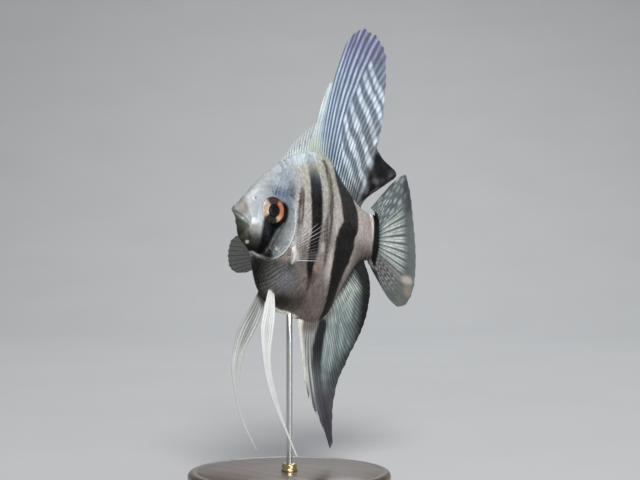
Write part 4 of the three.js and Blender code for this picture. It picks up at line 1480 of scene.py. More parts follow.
def anal_paint(points, ray, v, is_ray):
    x, z = flat_view(points)
    drift = ray + 0.2 * (cloud(x, z, 8, 31) - 0.5)
    each, twice, fine = swell(drift), swell(2 * drift), swell(4 * drift)
    each = each + (twice - each) * ramp(0.02, 0.12, v) * ramp(9, 12, ray)
    each = each + (fine - each) * ramp(0.26, 0.44, v) * ramp(9, 12, ray)
    inward = ahead_of(x, z, SMOKY_EDGE)
    depth = belly_line(np.clip(x, 0, 87)) - z
    film = ramp(0.15, 0.8, each)
    shade = lay((50, 57, 58), [(ramp(-2, 12, inward), (84, 94, 95))])
    light = film * (0.3 + 0.7 * cloud(x * 1.6, z * 0.5, 3.2, 32))
    light *= 0.25 + 0.75 * ramp(0, 11, inward)
    shade = lay(shade, [(light, (164, 177, 176))])
    glow = ramp(10, 4, np.abs(depth - 8)) * ramp(-42, -28, z)
    shade = lay(shade, [(0.75 * glow * film, (190, 199, 190))])
    deep = ramp(-60, -80, z)
    shade = lay(shade, [(0.8 * deep, lay((78, 74, 82), [(0.6 * film, (112, 107, 116))]))])
    ahead = ramp(56.6, 54.6, x + 0.1 * (z + 45))
    shade = lay(shade, [
        (0.85 * ahead * ramp(-64, -48, z), (106, 105, 105)),
        (0.6 * ahead * film, (172, 172, 168)),
    ])
    stripe = band(x + 0.5 * (cloud(x, z, 3, 33) - 0.5), z, ANAL_STRIPE, 1)
    stripe *= 0.96 - 0.4 * ramp(-52, -74, z)
    shade = lay(shade, [(stripe, lay((14, 14, 17), [(ramp(-48, -70, z), (46, 49, 56))]))])
    fleshy = ramp(6.5, 1.5, depth) * ramp(70, 60, x)
    shade = lay(shade, [(0.85 * fleshy * (1 - stripe), (86, 77, 71))])
    front_edge = [(tip_x, tip_z) for _, tip_x, tip_z in ANAL_TIPS[8::-1]]
    lead = ramp(3, 0.8, -ahead_of(x, z, front_edge)) * ramp(-73, -64, z)
    shade = lay(shade, [(0.85 * lead, (206, 205, 196))])
    # The smoky rear edge, with painted shade in the crease under the tail base.
    smoke_and_shade = ramp(5, -1.4, inward) * (0.35 + 0.65 * ramp(-62, -42, z))
    crease_shade = ramp(5, 1, depth) * ramp(66, 70, x)
    smoke_and_shade = np.clip(np.maximum(smoke_and_shade, 0.8 * crease_shade), 0, 1)
    shade = lay(shade, [(0.94 * smoke_and_shade, (17, 16, 17))])
    opacity = 0.97 - 0.04 * deep
    if is_ray:
        shade = lay(shade, [(0.12 * smoke_and_shade, (90, 87, 84))])
        opacity = np.maximum(opacity, 0.85)
    return shade, np.clip(opacity, 0.1, 1)


anal_place = fan_of(32, ANAL_TIPS, anal_foot, 0.05, anal_sway)
ANAL = {
    "per_gap": 6, "steps": 110, "seed": 6, "loose": 0.02, "root": 1.0, "edge": 0.10,
    "bow_out": 0.06, "thick_root": 0.26, "spines": 6, "splits": (0.32, 0.66), "spread": 0.20,
    "beads": 24, "stepping": lambda ray: ramp(10.5, 9.0, ray),
    "notch": lambda ray: 0.012 + 0.05 * ramp(7.5, 6.0, ray),
}
anal_film = membrane("anal_film", anal_place, 32, ANAL, anal_paint, film_finish)
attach(anal_film, "root")
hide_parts("anal_fin")
anal_rays = fin_rays("anal_rays", anal_place, 32, ANAL, anal_paint, ray_finish)
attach(anal_rays, "root")
print("anal film and rays:", len(anal_film.data.polygons), len(anal_rays.data.polygons))

# %% [markdown]
# ## The tail fin
# A broad fan, swept a little to one side by the stroke of the tail. Its rays lie in pairs that
# open like a V, pale and flecked, with thin dark gaps between the pairs.

# %% Tail fin
TAIL_TIPS = [
    (1, 86, 16.6), (2, 90.4, 22.4), (3, 95.6, 28.8), (4, 100.6, 34), (5, 104.8, 36),
    (6, 106.6, 33.4), (8, 109.4, 24.6), (10, 112, 14.4), (12, 114.2, 4), (14, 115, -5.6),
    (16, 114.2, -14.6), (17, 112.4, -20.4), (18, 109, -25), (19, 102.6, -26.6), (20, 95, -23.4),
    (21, 88.6, -18), (22, 85, -12.6),
]


def tail_foot(share):
    return (84.6 - 1.0 * share + 1.6 * np.sin(pi * share), 12.2 + (-8.3 - 12.2) * share)


def tail_sway(share, v):
    return (4.5 - 9.5 * share) * v * v


def tail_paint(points, ray, v, is_ray):
    x, z = flat_view(points)
    each = swell(ray + 0.12 * (cloud(x, z, 6, 41) - 0.5))
    top = ramp(8.5, 6.5, ray)
    low = ramp(14.5, 17.5, ray)
    middle = 1 - np.maximum(top, low)
    wedge = ramp(0.02 + 0.12 * v, 0.18 + 0.3 * v, each)
    shade = lay((80, 87, 87), [(ramp(0.2, 0.05, v), (50, 53, 55))])
    grain = cloud(x, z * 1.4, 1.1, 42)
    reach = ramp(0.07, 0.3, v) * ramp(0.86, 0.6, v)
    light = middle * wedge * reach * (0.72 + 0.28 * ramp(0.25, 0.6, grain))
    light *= 1 - 0.65 * ramp(0.4, 0.55, v) * ramp(0.93, 0.995, each)
    light *= 0.78 + 0.44 * cloud(np.floor(ray) * 3.1, v * 3, 1, 45)
    shade = lay(shade, [(light, (180, 188, 184))])
    own = cloud(np.round(ray) * 2.3, v * 9, 1, 43)
    beat = 0.5 + 0.5 * np.cos(2 * pi * (v * 4.2 + 0.37 * np.round(ray) + 0.8 * own))
    fleck = ramp(0.1, 0.85, beat) * ramp(0.95, 0.15, each) * (0.35 + 0.65 * own)
    shade = lay(shade, [
        (0.6 * top, (58, 66, 70)),
        (top * (0.12 + 0.75 * fleck), (168, 180, 182)),
    ])
    low_fleck = ramp(0.2, 0.8, 0.5 + 0.5 * np.cos(
        2 * pi * (v * 10 + 0.5 * np.round(2 * ray) + 0.6 * own)))
    low_fleck *= swell(2 * ray)
    shade = lay(shade, [
        (0.8 * low * ramp(0.85, 0.35, v), (44, 41, 43)),
        (low * (0.08 + 0.8 * low_fleck * ramp(0.85, 0.5, v)), (150, 150, 148)),
        (0.75 * ramp(0.7, 0.92, v) * (1 - 0.5 * top), (96, 104, 103)),
        (0.5 * low * ramp(0.6, 0.85, v), (84, 84, 76)),
    ])
    edge = ramp(0.7, 0.92, v) * ramp(4.6, 6, ray) * ramp(9.8, 8.2, ray)
    shade = lay(shade, [
        (0.85 * edge, (56, 59, 66)),
        (0.8 * spot(x, z, (109.4, -13.4), (3.4, 2), 0.6), (172, 163, 157)),
        (0.6 * spot(x, z, (110.4, -18), (2.6, 2.6), 0.7), (138, 128, 116)),
        (0.99 * band(x, z, BAR_FOUR, 0.4), (7, 6, 8)),
    ])
    opacity = 0.97 + 0 * v
    if is_ray:
        opacity = np.maximum(opacity, 0.9)
    return shade, np.clip(opacity, 0.1, 1)


tail_place = fan_of(22, TAIL_TIPS, tail_foot, 0, tail_sway)
TAIL = {
    "per_gap": 8, "steps": 90, "seed": 7, "loose": 0.02, "root": 1.2, "edge": 0.10,
    "bow_out": 0.07, "thick_root": 0.30, "spines": 0, "splits": (0.22, 0.56), "spread": 0.24,
    "beads": 22, "stepping": always(0), "notch": always(0.012),
}
tail_film = membrane("tail_film", tail_place, 22, TAIL, tail_paint, film_finish)
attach(tail_film, "root")
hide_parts("caudal_fin")
tail_rays = fin_rays("tail_rays", tail_place, 22, TAIL, tail_paint, ray_finish)
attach(tail_rays, "root")
print("tail film and rays:", len(tail_film.data.polygons), len(tail_rays.data.polygons))

# %% [markdown]
# ## The pectoral fins
# The two clear fans behind the gill covers: the near one is held back and up against the flank,
# and the far one is spread sideways to brake. On the near one the film is almost invisible and
# the rays are fine and pale, all but the lowest, which is thick and white. The far one is painted
# dark grey and half see-through, a painted shade, as it lies in the fish's shadow.

# %% Pectoral fins
PECTORAL_LENGTHS = [15.5, 20, 23.2, 25.2, 26, 26.2, 26.2, 25.8, 25, 23.4, 20.6, 15]


def pectoral_place(side, out):
    out = unit(np.array(out))
    up = unit(np.array([0, 0, 1]) - out * out[2])
    face = np.cross(out, up)
    length_at = smooth_curve(list(enumerate(PECTORAL_LENGTHS, 1)))

    def place(ray, v, reach_ray=None):
        share = (ray - 1) / 11
        angle = radians(21) * (1 - 2 * share)
        reach = v * length_at(ray)
        foot = (np.array([29.4, side * 5.6, -14.2]) + up * ((0.5 - share) * 6.6)[..., None])
        cup = 0.5 * np.sin(pi * share) * v ** 2
        return (foot + out * (np.cos(angle) * reach)[..., None]
                + up * (np.sin(angle) * reach)[..., None] + face * cup[..., None])

    return place


def pectoral_paint(near):
    def paint(points, ray, v, is_ray):
        root = ramp(0.16, 0.02, v)
        # The far fin's dark grey is painted shade; the near fin is pale.
        shade = lay((200, 206, 208) if near else (52, 52, 45), [
            (root, (226, 220, 214) if near else (120, 118, 108))])
        opacity = (0 if near else 0.62) + 0.9 * root
        if is_ray:
            lowest = ramp(10.9, 11.7, ray)
            shade = lay(shade, [
                (0.9 if near else 0.4, (232, 234, 236) if near else (126, 126, 116))])
            if near:
                upper = ramp(6.6, 4.6, ray) * cloud(ray * 1.7, 0 * ray, 1, 52)
                opacity = (0.07 + 0.55 * upper) * ramp(0.92, 0.5, v)
                opacity = opacity + 0.7 * lowest * ramp(0.8, 0.5, v) + 0.5 * root
            else:
                opacity = 0.75 + 0.25 * root
        return shade, np.clip(opacity + 0 * v, 0, 1)
    return paint


PECTORAL = {
    "per_gap": 4, "steps": 40, "seed": 8, "loose": 0.03, "root": 0.7, "edge": 0.06,
    "bow_out": 0.04, "thick_root": 0.15, "spines": 1, "splits": (0.72, 0.9), "spread": 0.16,
    "beads": 20, "stepping": always(0), "notch": always(0.015),
}
clear_film = fin_finish("clear_film", 0.25, 0.06)
for word, side, out in (("left", -1, (0.82, -0.40, 0.5)), ("right", 1, (-0.14, 0.985, -0.03))):
    place, paint = pectoral_place(side, out), pectoral_paint(side < 0)
    film = membrane("pectoral_film_" + word, place, 12, PECTORAL, paint, clear_film)
    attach(film, "root")
    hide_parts("pectoral_fin_" + word)
    rays = fin_rays("pectoral_rays_" + word, place, 12, PECTORAL, paint, ray_finish)
    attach(rays, "root")
print("pectoral rays:", len(PECTORAL_LENGTHS), "on each side")

# %% [markdown]
# ## The pelvic fins
# The long feelers: each is one stout spine and a few soft rays, closed to a narrow white blade
# that draws out to a thread. A centre line with a width carries the same fan of rays, so the
# same sheet and rays serve, only folded together.

# %% Line and width of the pelvic fins
PELVIC_PATH = [
    (23.6, 2.4, -30.2), (22.6, 4.2, -40), (20.7, 6.2, -48.5), (19.9, 8.1, -56.5),
    (20.9, 9.7, -65.5), (25, 11.7, -77), (31.2, 13, -87.4), (41.2, 12.6, -99.6),
]
PELVIC_WIDTHS = {-1: [2.0, 5.6, 6.8, 4.6, 3.2, 2.4, 1.0, 0.5],
                 1: [2.6, 6.4, 8.0, 6.0, 4.6, 1.7, 1.0, 0.5]}
PELVIC_SPREAD = {-1: 0.0, 1: 0.6}


def centripetal(points, samples):
    """A smooth line through points, spaced by the square root of their distances."""
    p = np.array(points, float)
    p = np.vstack([2 * p[0] - p[1], p, 2 * p[-1] - p[-2]])
    knots = np.concatenate([[0], np.cumsum(np.linalg.norm(np.diff(p, axis=0), axis=1) ** 0.5)])
    u = np.linspace(0, len(points) - 1, samples)
    k = np.minimum(u.astype(int), len(points) - 2) + 1
    t = (knots[k] + (u - (k - 1)) * (knots[k + 1] - knots[k]))[:, None]

    def mix(a, b, i, j):
        low, high = knots[i][:, None], knots[j][:, None]
        return a * (high - t) / (high - low) + b * (t - low) / (high - low)

    first, second, third = (mix(p[k + i - 1], p[k + i], k + i - 1, k + i) for i in range(3))
    return mix(mix(first, second, k - 1, k + 1), mix(second, third, k, k + 2), k, k + 1)


def pelvic_place(side):
    samples = 241
    line = centripetal([(x, side * y, z) for x, y, z in PELVIC_PATH], samples)
    midway = np.sin(pi * np.linspace(0, 1, samples)) ** 2
    line[:, 1] += side * PELVIC_SPREAD[side] * midway
    tangent = unit(np.gradient(line, axis=0))
    broad = unit(np.cross(np.array([0, side, 0]), tangent))
    face = np.cross(tangent, broad)
    width_at = smooth_curve(list(enumerate(PELVIC_WIDTHS[side])))

    def place(ray, v, reach_ray=None):
        share = (ray - 1) / 5
        k = np.clip(v, 0, 1) * (samples - 1)
        low = np.minimum(k.astype(int), samples - 2)
        part = (k - low)[..., None]

        def at(rows):
            return rows[low] * (1 - part) + rows[low + 1] * part

        width = width_at(np.clip(v, 0, 1) * (len(PELVIC_PATH) - 1))
        fold = 0.35 * np.sin(2 * pi * share) * np.minimum(width / 6, 1)
        return (at(line) + at(broad) * ((share - 0.5) * width)[..., None]
                + at(face) * fold[..., None])

    return place


print("a pelvic fin is", round(float(np.linalg.norm(np.diff(centripetal(PELVIC_PATH, 99), axis=0),
                                                   axis=1).sum())), "mm long")

# %% [markdown]
# ## The pelvic fins' colours and pieces
# The feelers are milk white with faint grey streaks along the rays, darker and warmer where they
# leave the breast, a painted shade. The far one is a little duller, as it stands in the fish's
# shade, which is painted too.


# %% Pelvic fins
def pelvic_paint(near):
    def paint(points, ray, v, is_ray):
        gap = swell(ray)
        streaky = ramp(0.35, 0.75, cloud(ray * 2.6, v * 5, 1, 51))
        fade = ramp(0.85, 0.2, v)
        shade = lay((206, 208, 208) if near else (192, 195, 194), [
            ((0.35 if near else 0.55) * fade * streaky, (138, 140, 138)),
            (0.25 * fade * ramp(0.5, 0.95, gap), (120, 122, 120)),
        ])
        if near:
            shade = lay(shade, [
                (0.8 * ramp(0.16, 0.36, v) * ramp(0.95, 0.75, v), (188, 190, 190)),
                # Painted shade where the fin leaves the breast.
                (0.7 * ramp(0.07, 0, v), (128, 118, 104)),
            ])
        else:
            # Painted shade on the far fin, deepest near its root.
            inner = ramp(3.2, 5.2, ray) * ramp(0.35, 0.12, v)
            shade = lay(shade, [
                (0.6 * inner, (88, 82, 74)),
                (0.7 * ramp(0.1, 0.02, v), (74, 70, 60)),
            ])
        return shade, np.ones(ray.shape)
    return paint


PELVIC = {
    "per_gap": 6, "steps": 150, "seed": 9, "loose": 0.0, "root": 1.0, "edge": 0.22,
    "bow_out": 0.05, "thick_root": 0.42, "spines": 1, "splits": (0.55, 0.8), "spread": 0.18,
    "beads": 40, "stepping": always(0), "notch": always(0),
}
for word, side in SIDES:
    place, paint = pelvic_place(side), pelvic_paint(side < 0)
    film = membrane("pelvic_film_" + word, place, 6, PELVIC, paint, white_finish)
    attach(film, "root")
    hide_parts("pelvic_fin_" + word)
    rays = fin_rays("pelvic_rays_" + word, place, 6, PELVIC, paint, white_finish)
    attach(rays, "root")
print("pelvic fins:", len(PELVIC_PATH), "points on each line")

# %% [markdown]
# ## The coat of scales
# Each side carries some three thousand three hundred scales. On the real fish they are thin round
# plates rooted in pockets of the skin, each overlapping the next behind it, in rows that run
# along the flank. They could be bump only, but then the outline and the glancing light would
# give it away, so every scale is a small solid plate. The rows are counted out from a line
# along the middle of the flank, by the real distance over the skin, and are finest on the face.

# %% Where the scales grow
NEXT = 0.4
LATERAL_LINE = smooth_curve([(-1.3, -1.0), (12, -1.0), (30, 3.0), (50, 6.5), (70, 4.5), (87, 2.2)])
ANGLES = np.linspace(-pi / 2, pi / 2, 500)


def skin_at(x, angle, side):
    """The point on the finished skin at a station and an angle, with the skin's direction."""
    turned = np.where(side > 0, angle, pi - angle)

    def bare(px, pa):
        return section_point(px, pa, SKIN_DEPTH)

    step = 0.02
    by_x = bare(x + step, turned) - bare(x - step, turned)
    by_angle = bare(x, turned + step) - bare(x, turned - step)
    facing = unit(np.cross(by_angle, by_x))
    point = bare(x, turned)
    flip = np.sign((facing * (point * [0, 1, 0])).sum(axis=-1))
    facing *= flip[..., None]
    return point + facing * relief(point)[..., None], facing


def angle_of_rows(x, rows):
    """Angles of row distances, measured over the skin up and down from the lateral line."""
    ring = section_point(np.full(ANGLES.shape, x), ANGLES, SKIN_DEPTH)
    arc = np.concatenate([[0], np.cumsum(np.linalg.norm(np.diff(ring, axis=0), axis=1))])
    arc -= np.interp(LATERAL_LINE(x), ring[:, 2], arc)
    depth = (back_line(x) - belly_line(x)) / 75
    distance = rows * (0.72 + 0.28 * depth)
    keep = (distance > arc[0] + 0.55) & (distance < arc[-1] - 0.55)
    return np.interp(distance, arc, ANGLES), distance, keep


def rows_of_scales(start, end, step_at, row_gap):
    places, x, column = [], start, 0
    while x < end:
        rows = (np.arange(-60, 61) + (column % 2) * 0.5) * row_gap
        angle, distance, keep = angle_of_rows(x, rows)
        ahead = angle_of_rows(x + NEXT, rows)[0]
        for row in np.nonzero(keep)[0]:
            places.append((x, angle[row], ahead[row], distance[row]))
        x += step_at(x) / 2
        column += 1
    return np.array(places)


FACE_STEP, FACE_ROW, TRUNK_ROW = 1.12, 1.0, 1.55
TRUNK_STEP = smooth_curve([(6, 1.15), (20, 1.45), (34, 1.75), (60, 1.75), (76, 1.5), (87, 1.2)])
trunk_places = rows_of_scales(9.0, 86.0, TRUNK_STEP, TRUNK_ROW)
face_places = rows_of_scales(10.5, 30.2, always(FACE_STEP), FACE_ROW)
print("scale places:", len(trunk_places), "on the trunk,", len(face_places), "on the face")

# %% [markdown]
# ## Which places get a scale
# A scale needs a root on the skin, the skin's own direction there and the way it lies, which is
# along its row towards the tail. None grows on the eye, the snout, the cheek's ridge, the gill
# cover's free edge or the root of the pectoral fin, and they thin out over the crown.


# %% Which places get a scale
def chosen(places, side):
    x, angle, ahead, _ = places.T
    point, facing = skin_at(x, angle, np.full(x.shape, side))
    step_on = skin_at(x + NEXT, ahead, np.full(x.shape, side))[0]
    lie = step_on - point
    lie -= facing * (lie * facing).sum(axis=-1, keepdims=True)
    return point, facing, unit(lie)


def behind_brow(x, z):
    """How far a place lies behind the line where the smallest face scales begin."""
    return x - (11.0 + 0.42 * np.maximum(z - 3, 0) + 0.1 * np.maximum(-3 - z, 0))


def clear_of_features(point, side, on_face):
    x, z = point[:, 0], point[:, 2]
    signed = from_path(x, z, GILL_EDGE)[0] * edge_side(x, z)
    a, b, _ = eye_plane(point, side)
    around_eye = np.hypot(a, b)
    if on_face:
        keep = (edge_side(x, z) > 0) & (signed > 1.0) & (around_eye > 6.7)
        keep &= behind_brow(x, z) > 4.5 * np.random.default_rng(61).random(len(x))
        keep &= from_path(x, z, CHEEK_RIDGE)[0] > 0.75
        return keep
    root = np.hypot((x - 29.6) / 1.5, (z + 14.2) / 3.6)
    return (edge_side(x, z) < 0) & (signed < -0.8) & (root > 1)


trunk_spots = chosen(trunk_places, -1)[0]
print("kept on the left of the trunk:", clear_of_features(trunk_spots, -1, False).sum())

# %% [markdown]
# ## One plate
# A scale seen from above is a rounded shield: blunt where it is rooted, round at its free edge.
# The mesh is a fan of two rings with a rim and a floor, 54 triangles in all. It rises from
# root to edge, so that the row behind tucks under it.


# %% The plate
def plate_mesh():
    corners = 9
    turn = (np.arange(corners) + 0.5) / corners * 2 * pi
    edge_x = 0.5 * np.cos(turn) * np.where(np.cos(turn) < 0, 1.12, 1.0)
    edge_y = 0.5 * np.sin(turn) * (1 + 0.1 * np.cos(turn))
    outline = np.stack([edge_x, edge_y], -1)
    points, faces = [], []
    for share, lift in ((0.78, 0.01), (1.0, -0.014), (1.0, -0.064)):
        points += [(px, py, lift + 0.062 + 0.13 * px) for px, py in outline * share]
    points += [(0, 0, 0.082), (0, 0, -0.002)]
    top, under = 3 * corners, 3 * corners + 1
    for k in range(corners):
        n = (k + 1) % corners
        faces.append((k, n, top))
        faces.append((k + corners, n + corners, n, k))
        faces.append((k + 2 * corners, n + 2 * corners, n + corners, k + corners))
        faces.append((n + 2 * corners, k + 2 * corners, under))
    mesh = mesh_from("plate", points, faces)
    local = np.array(points)
    store(mesh, "local_x", local[:, 0])
    store(mesh, "local_y", local[:, 1])
    return mesh


def planting_tree(material):
    tree, start, inputs = new_tree("plant_scales", {
        "Roots": "Geometry", "Plate": "Object", "Size factor": "Float", "Stray angle": "Float",
        "Seed": "Int",
    }, "Coat")

    def stored(name, kind):
        return node(tree, "GeometryNodeInputNamedAttribute", {"Name": name},
                    data_type=kind).outputs["Attribute"]

    shape = node(tree, "GeometryNodeObjectInfo", {"Object": start.outputs["Plate"]})
    stand = node(tree, "FunctionNodeAxesToRotation", {
        "Primary Axis": stored("facing", "FLOAT_VECTOR"),
        "Secondary Axis": stored("lie", "FLOAT_VECTOR"),
    }, primary_axis="Z", secondary_axis="X")
    lowest = maths(tree, "MULTIPLY", start.outputs["Stray angle"], -1.0)
    chance = node(tree, "FunctionNodeRandomValue", {
        2: lowest, 3: start.outputs["Stray angle"], "Seed": start.outputs["Seed"],
    }, data_type="FLOAT")
    twist = node(tree, "FunctionNodeAxisAngleToRotation",
                 {"Axis": (0, 0, 1), "Angle": chance.outputs[1]})
    turned = node(tree, "FunctionNodeRotateRotation", {0: stand, 1: twist}, rotation_space="LOCAL")
    sized = scaled(tree, stored("size", "FLOAT_VECTOR"), start.outputs["Size factor"])
    placed = node(tree, "GeometryNodeInstanceOnPoints", {
        "Points": start.outputs["Roots"], "Instance": shape.outputs["Geometry"],
        "Rotation": turned, "Scale": sized,
    })
    end_tree(tree, placed, material)
    return tree, inputs


print("plate faces:", len(plate_mesh().polygons))

# %% [markdown]
# ## The scales' finish
# The same paint as the skin under them, with three touches of their own: every plate is a shade
# lighter or darker than the next, each is painted darker at its root, as shade under the plate in
# front, and lighter at its free edge, a silver line of painted highlight, and fine growth rings
# run round it as bump.


# %% Finish of the scales
def scale_finish():
    material = fish_finish("silver_scales", 0.38, 0.02, speckle=0.10, bump=0.03)
    tree = material.node_tree
    shader = tree.nodes["Principled BSDF"]
    varied = shader.inputs["Base Color"].links[0].from_socket
    tone = node(tree, "ShaderNodeAttribute", attribute_name="tone").outputs["Fac"]
    along = node(tree, "ShaderNodeAttribute", attribute_name="local_x").outputs["Fac"]
    across_it = node(tree, "ShaderNodeAttribute", attribute_name="local_y").outputs["Fac"]
    # Darker at the root, painted shade under the plate in front; lighter at the free edge, a
    # painted silver highlight.
    edge = node(tree, "ShaderNodeMapRange", {"Value": along, "From Min": 0.05, "From Max": 0.5,
                                             "To Min": 0.70, "To Max": 1.40})
    shaded = scaled(tree, varied, maths(tree, "MULTIPLY", tone, edge))
    tree.links.new(shaded.outputs[0], shader.inputs["Base Color"])
    spot_at = node(tree, "ShaderNodeCombineXYZ", {"X": along, "Y": across_it})
    from_middle = node(tree, "ShaderNodeVectorMath", {0: spot_at}, operation="LENGTH")
    rings = maths(tree, "MULTIPLY", from_middle.outputs["Value"], 70.0)
    pitted = shader.inputs["Normal"].links[0].from_socket
    ringed = raise_by(tree, shader, maths(tree, "SINE", rings), 0.12, 0.00003)
    tree.links.new(pitted, ringed.inputs["Normal"])
    return material


coat_material = scale_finish()
print("finish of the scales:", coat_material.name)

# %% [markdown]
# ## Planting the coat
# The places, directions and sizes go into a mesh of bare points, and the tree sets one plate on
# each. Every plate carries its own tone and the place of its root, so the joined coat can be
# painted like the skin and laid out flat, with each plate at its root's place on the map.

# %% The coat of scales
OVERLAP_LONG, OVERLAP_WIDE, PLATE_ON_MAP = 1.62, 1.34, 0.003
planting, inputs_of = planting_tree(coat_material)
plate_object = object_from(plate_mesh())

for word, side in SIDES:
    rng = np.random.default_rng(41 if side < 0 else 43)
    spots, facings, lies, sizes, roots = [], [], [], [], []
    for places, on_face in ((trunk_places, False), (face_places, True)):
        point, facing, lie = chosen(places, side)
        keep = clear_of_features(point, side, on_face)
        x = places[:, 0]
        length = (FACE_STEP + 0 * x if on_face else TRUNK_STEP(x)) * OVERLAP_LONG
        width = np.full(len(x), FACE_ROW if on_face else TRUNK_ROW) * OVERLAP_WIDE
        thick = np.full(len(x), 0.75 if on_face else 1.0)
        jitter = 1 + 0.07 * (rng.random((len(x), 1)) - 0.5)
        size = np.stack([length, width, thick], -1) * jitter
        if on_face:
            size *= (0.5 + 0.5 * ramp(0, 6, behind_brow(x, point[:, 2])))[:, None]
        root = np.stack([0.03 + places[:, 0] / 95, 0.5 + places[:, 3] / 100], -1)
        spots.append(point[keep])
        facings.append(facing[keep])
        lies.append(lie[keep])
        sizes.append(size[keep])
        roots.append(root[keep])
    spots, roots = np.concatenate(spots), np.concatenate(roots)
    seeds = bpy.data.meshes.new("roots")
    seeds.from_pydata(to_world(spots), [], [])
    store_vector(seeds, "facing", np.concatenate(facings) @ TIPPED.T)
    store_vector(seeds, "lie", np.concatenate(lies) @ TIPPED.T)
    store_vector(seeds, "size", np.concatenate(sizes) / 1000)
    store(seeds, "tone", 0.80 + 0.38 * rng.random(len(spots)))
    store(seeds, "root_u", roots[:, 0])
    store(seeds, "root_v", roots[:, 1])
    values = {"Plate": plate_object, "Size factor": 1.0, "Stray angle": 0.05, "Seed": 7}
    mesh = made_by(planting, {inputs_of[key]: value for key, value in values.items()},
                   seeds, "scales_" + word)
    shades, silver = body_paint(in_fish_space(mesh))
    store_paint(mesh, shades)
    store(mesh, "silver", silver)
    flat = np.stack([stored_number(mesh, "root_" + root_axis)
                     + PLATE_ON_MAP * stored_number(mesh, "local_" + plate_axis)
                     for root_axis, plate_axis in (("u", "x"), ("v", "y"))], -1)
    corner = np.zeros(len(mesh.loops), int)
    mesh.loops.foreach_get("vertex_index", corner)
    bake_map = mesh.uv_layers.new(name="OFBake")
    bake_map.data.foreach_set("uv", flat[corner].ravel())
    coat = object_from(mesh)
    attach(coat, "root")
    mesh.calc_loop_triangles()
    print("scales on the", word, "side:", len(spots), "triangles:", len(mesh.loop_triangles))
bpy.data.objects.remove(plate_object)

# %% [markdown]
# ## The stand
# A museum fish stands on a turned wooden foot with a slim steel rod. Each part is a profile
# turned about an upright line, as on a lathe: the foot with its rounded shoulder, a collar
# that hides the hole, and the rod, whose top end goes into the belly.


# %% Turning
def upright(name, profile, around=160):
    """Turns (radius, height) pairs in mm about the upright line through the stand."""
    angle = np.arange(around) / around * 2 * pi
    rings = np.array([np.stack([r * np.cos(angle) + stand_x, r * np.sin(angle) + stand_y,
                                np.full(around, h)], -1) for r, h in profile])
    points, faces = close_rings(rings)
    mesh = mesh_from(name, points / 1000, faces)
    orient_out(mesh)
    return mesh


def rounded(radius, top, round_by, steps=10):
    turn = np.linspace(0, pi / 2, steps)
    return [(radius - round_by * (1 - cos(t)), top - round_by * (1 - sin(t))) for t in turn]


base_low, base_high = (np.array(tuple(corner)) * 1000 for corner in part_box("stand_base"))
rod_low, rod_high = (np.array(tuple(corner)) * 1000 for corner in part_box("stand_rod"))
collar_low, collar_high = (np.array(tuple(corner)) * 1000 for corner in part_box("stand_collar"))
stand_x, stand_y = (base_low[:2] + base_high[:2]) / 2
base_radius = (base_high[0] - base_low[0]) / 2
print("foot", round(2 * base_radius, 1), "mm across")

# %% [markdown]
# ## Wood and metal
# Walnut shows long rings of dark and pale wood and small pores, so a wave bent by noise makes
# the figure, with a finer noise as bump under a satin lacquer. The metal parts were turned too,
# so fine lines run round them.

# %% Wood and metal
wood, tree, shader = principled("turned_walnut", {
    "Roughness": 0.34, "Coat Weight": 0.35, "Coat Roughness": 0.18,
})
place = node(tree, "ShaderNodeTexCoord").outputs["Object"]
stretched = node(tree, "ShaderNodeVectorMath", {0: place, 1: (1.0, 0.14, 1.0)},
                 operation="MULTIPLY")
drift = node(tree, "ShaderNodeTexNoise", {"Vector": stretched, "Scale": 60.0, "Detail": 5.0})
rings = node(tree, "ShaderNodeTexWave", {
    "Vector": stretched, "Scale": 36.0, "Distortion": 11.0, "Detail": 4.0, "Detail Scale": 0.8,
}, bands_direction="X")
pores = node(tree, "ShaderNodeTexNoise", {"Vector": stretched, "Scale": 1400.0, "Detail": 2.0})
figure = node(tree, "ShaderNodeMix", {
    0: rings.outputs["Fac"], 6: (0.030, 0.015, 0.008, 1), 7: (0.098, 0.050, 0.026, 1),
}, data_type="RGBA")
shaded = node(tree, "ShaderNodeMix", {
    0: drift, 6: figure.outputs[2], 7: (0.06, 0.03, 0.016, 1),
}, data_type="RGBA")
tree.links.new(shaded.outputs[2], shader.inputs["Base Color"])
raise_by(tree, shader, pores, 0.15, 0.0001)


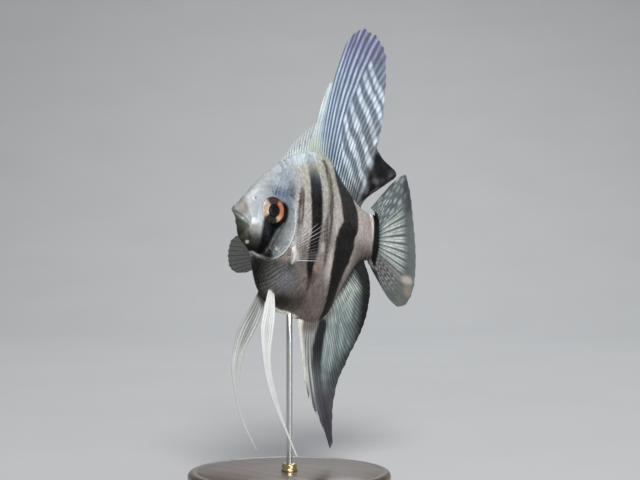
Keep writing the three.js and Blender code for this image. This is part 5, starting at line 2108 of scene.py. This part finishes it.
def metal(name, tone, roughness):
    material, tree, shader = principled(name, {"Metallic": 1.0, "Roughness": roughness})
    place = node(tree, "ShaderNodeTexCoord").outputs["Object"]
    squashed = node(tree, "ShaderNodeVectorMath", {0: place, 1: (1.0, 1.0, 26.0)},
                    operation="MULTIPLY")
    lines = node(tree, "ShaderNodeTexNoise", {"Vector": squashed, "Scale": 420.0, "Detail": 3.0})
    tint = node(tree, "ShaderNodeMix", {
        0: lines, 6: (*[0.86 * c for c in tone], 1), 7: (*tone, 1),
    }, data_type="RGBA")
    tree.links.new(tint.outputs[2], shader.inputs["Base Color"])
    raise_by(tree, shader, lines, 0.1, 0.00002)
    return material


brass = metal("satin_brass", (0.60, 0.47, 0.24), 0.26)
steel = metal("brushed_rod", (0.60, 0.60, 0.59), 0.3)
print("stand finishes:", wood.name, brass.name, steel.name)

# %% [markdown]
# ## Foot, collar and rod
# Each outline runs from the underside up and in to the middle, with the corners rounded as a
# turner would leave them, and a thin groove cut near the rim of the foot.

# %% Stand
base_top = base_high[2]
foot_line = [(base_radius - 1.6, base_low[2] + 0.01), (base_radius - 0.8, base_low[2] + 0.01)]
foot_line += [(base_radius - 0.3, base_low[2] + 0.3), (base_radius, base_low[2] + 0.8)]
foot_line += rounded(base_radius, base_top, 2.0)
foot_line += [(base_radius - 3.4, base_top), (base_radius - 3.8, base_top - 0.25),
              (base_radius - 4.2, base_top), (12.0, base_top), (3.0, base_top)]
foot = object_from(upright("turned_foot", [(3.0, base_low[2] + 0.01)] + foot_line), wood)
collar_radius = (collar_high[0] - collar_low[0]) / 2
collar_top = collar_high[2]
collar_line = [(1.6, base_top - 0.2), (collar_radius, base_top - 0.2),
               (collar_radius, base_top + 0.5), (collar_radius - 0.3, base_top + 0.8)]
collar_line += rounded(collar_radius - 0.3, collar_top, 0.9, 6) + [(1.6, collar_top)]
collar = object_from(upright("turned_collar", collar_line, 96), brass)
rod_radius = min((rod_high - rod_low)[:2]) / 2
rod_line = [(rod_radius, rod_low[2]), (rod_radius, base_top + 1)]
rod_line += [(rod_radius, h) for h in np.linspace(base_top + 2, rod_high[2] - 0.4, 6)]
rod_line += [(rod_radius * 0.6, rod_high[2])]
rod = object_from(upright("steel_rod", rod_line, 48), steel)
for piece, name, slot in ((foot, "stand_base", "stand_wood"),
                          (collar, "stand_collar", "stand_metal"),
                          (rod, "stand_rod", "stand_metal")):
    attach(piece, "root")
    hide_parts(name)
print("rod", round(2 * rod_radius, 2), "mm thick, up to", round(rod_high[2], 1), "mm")
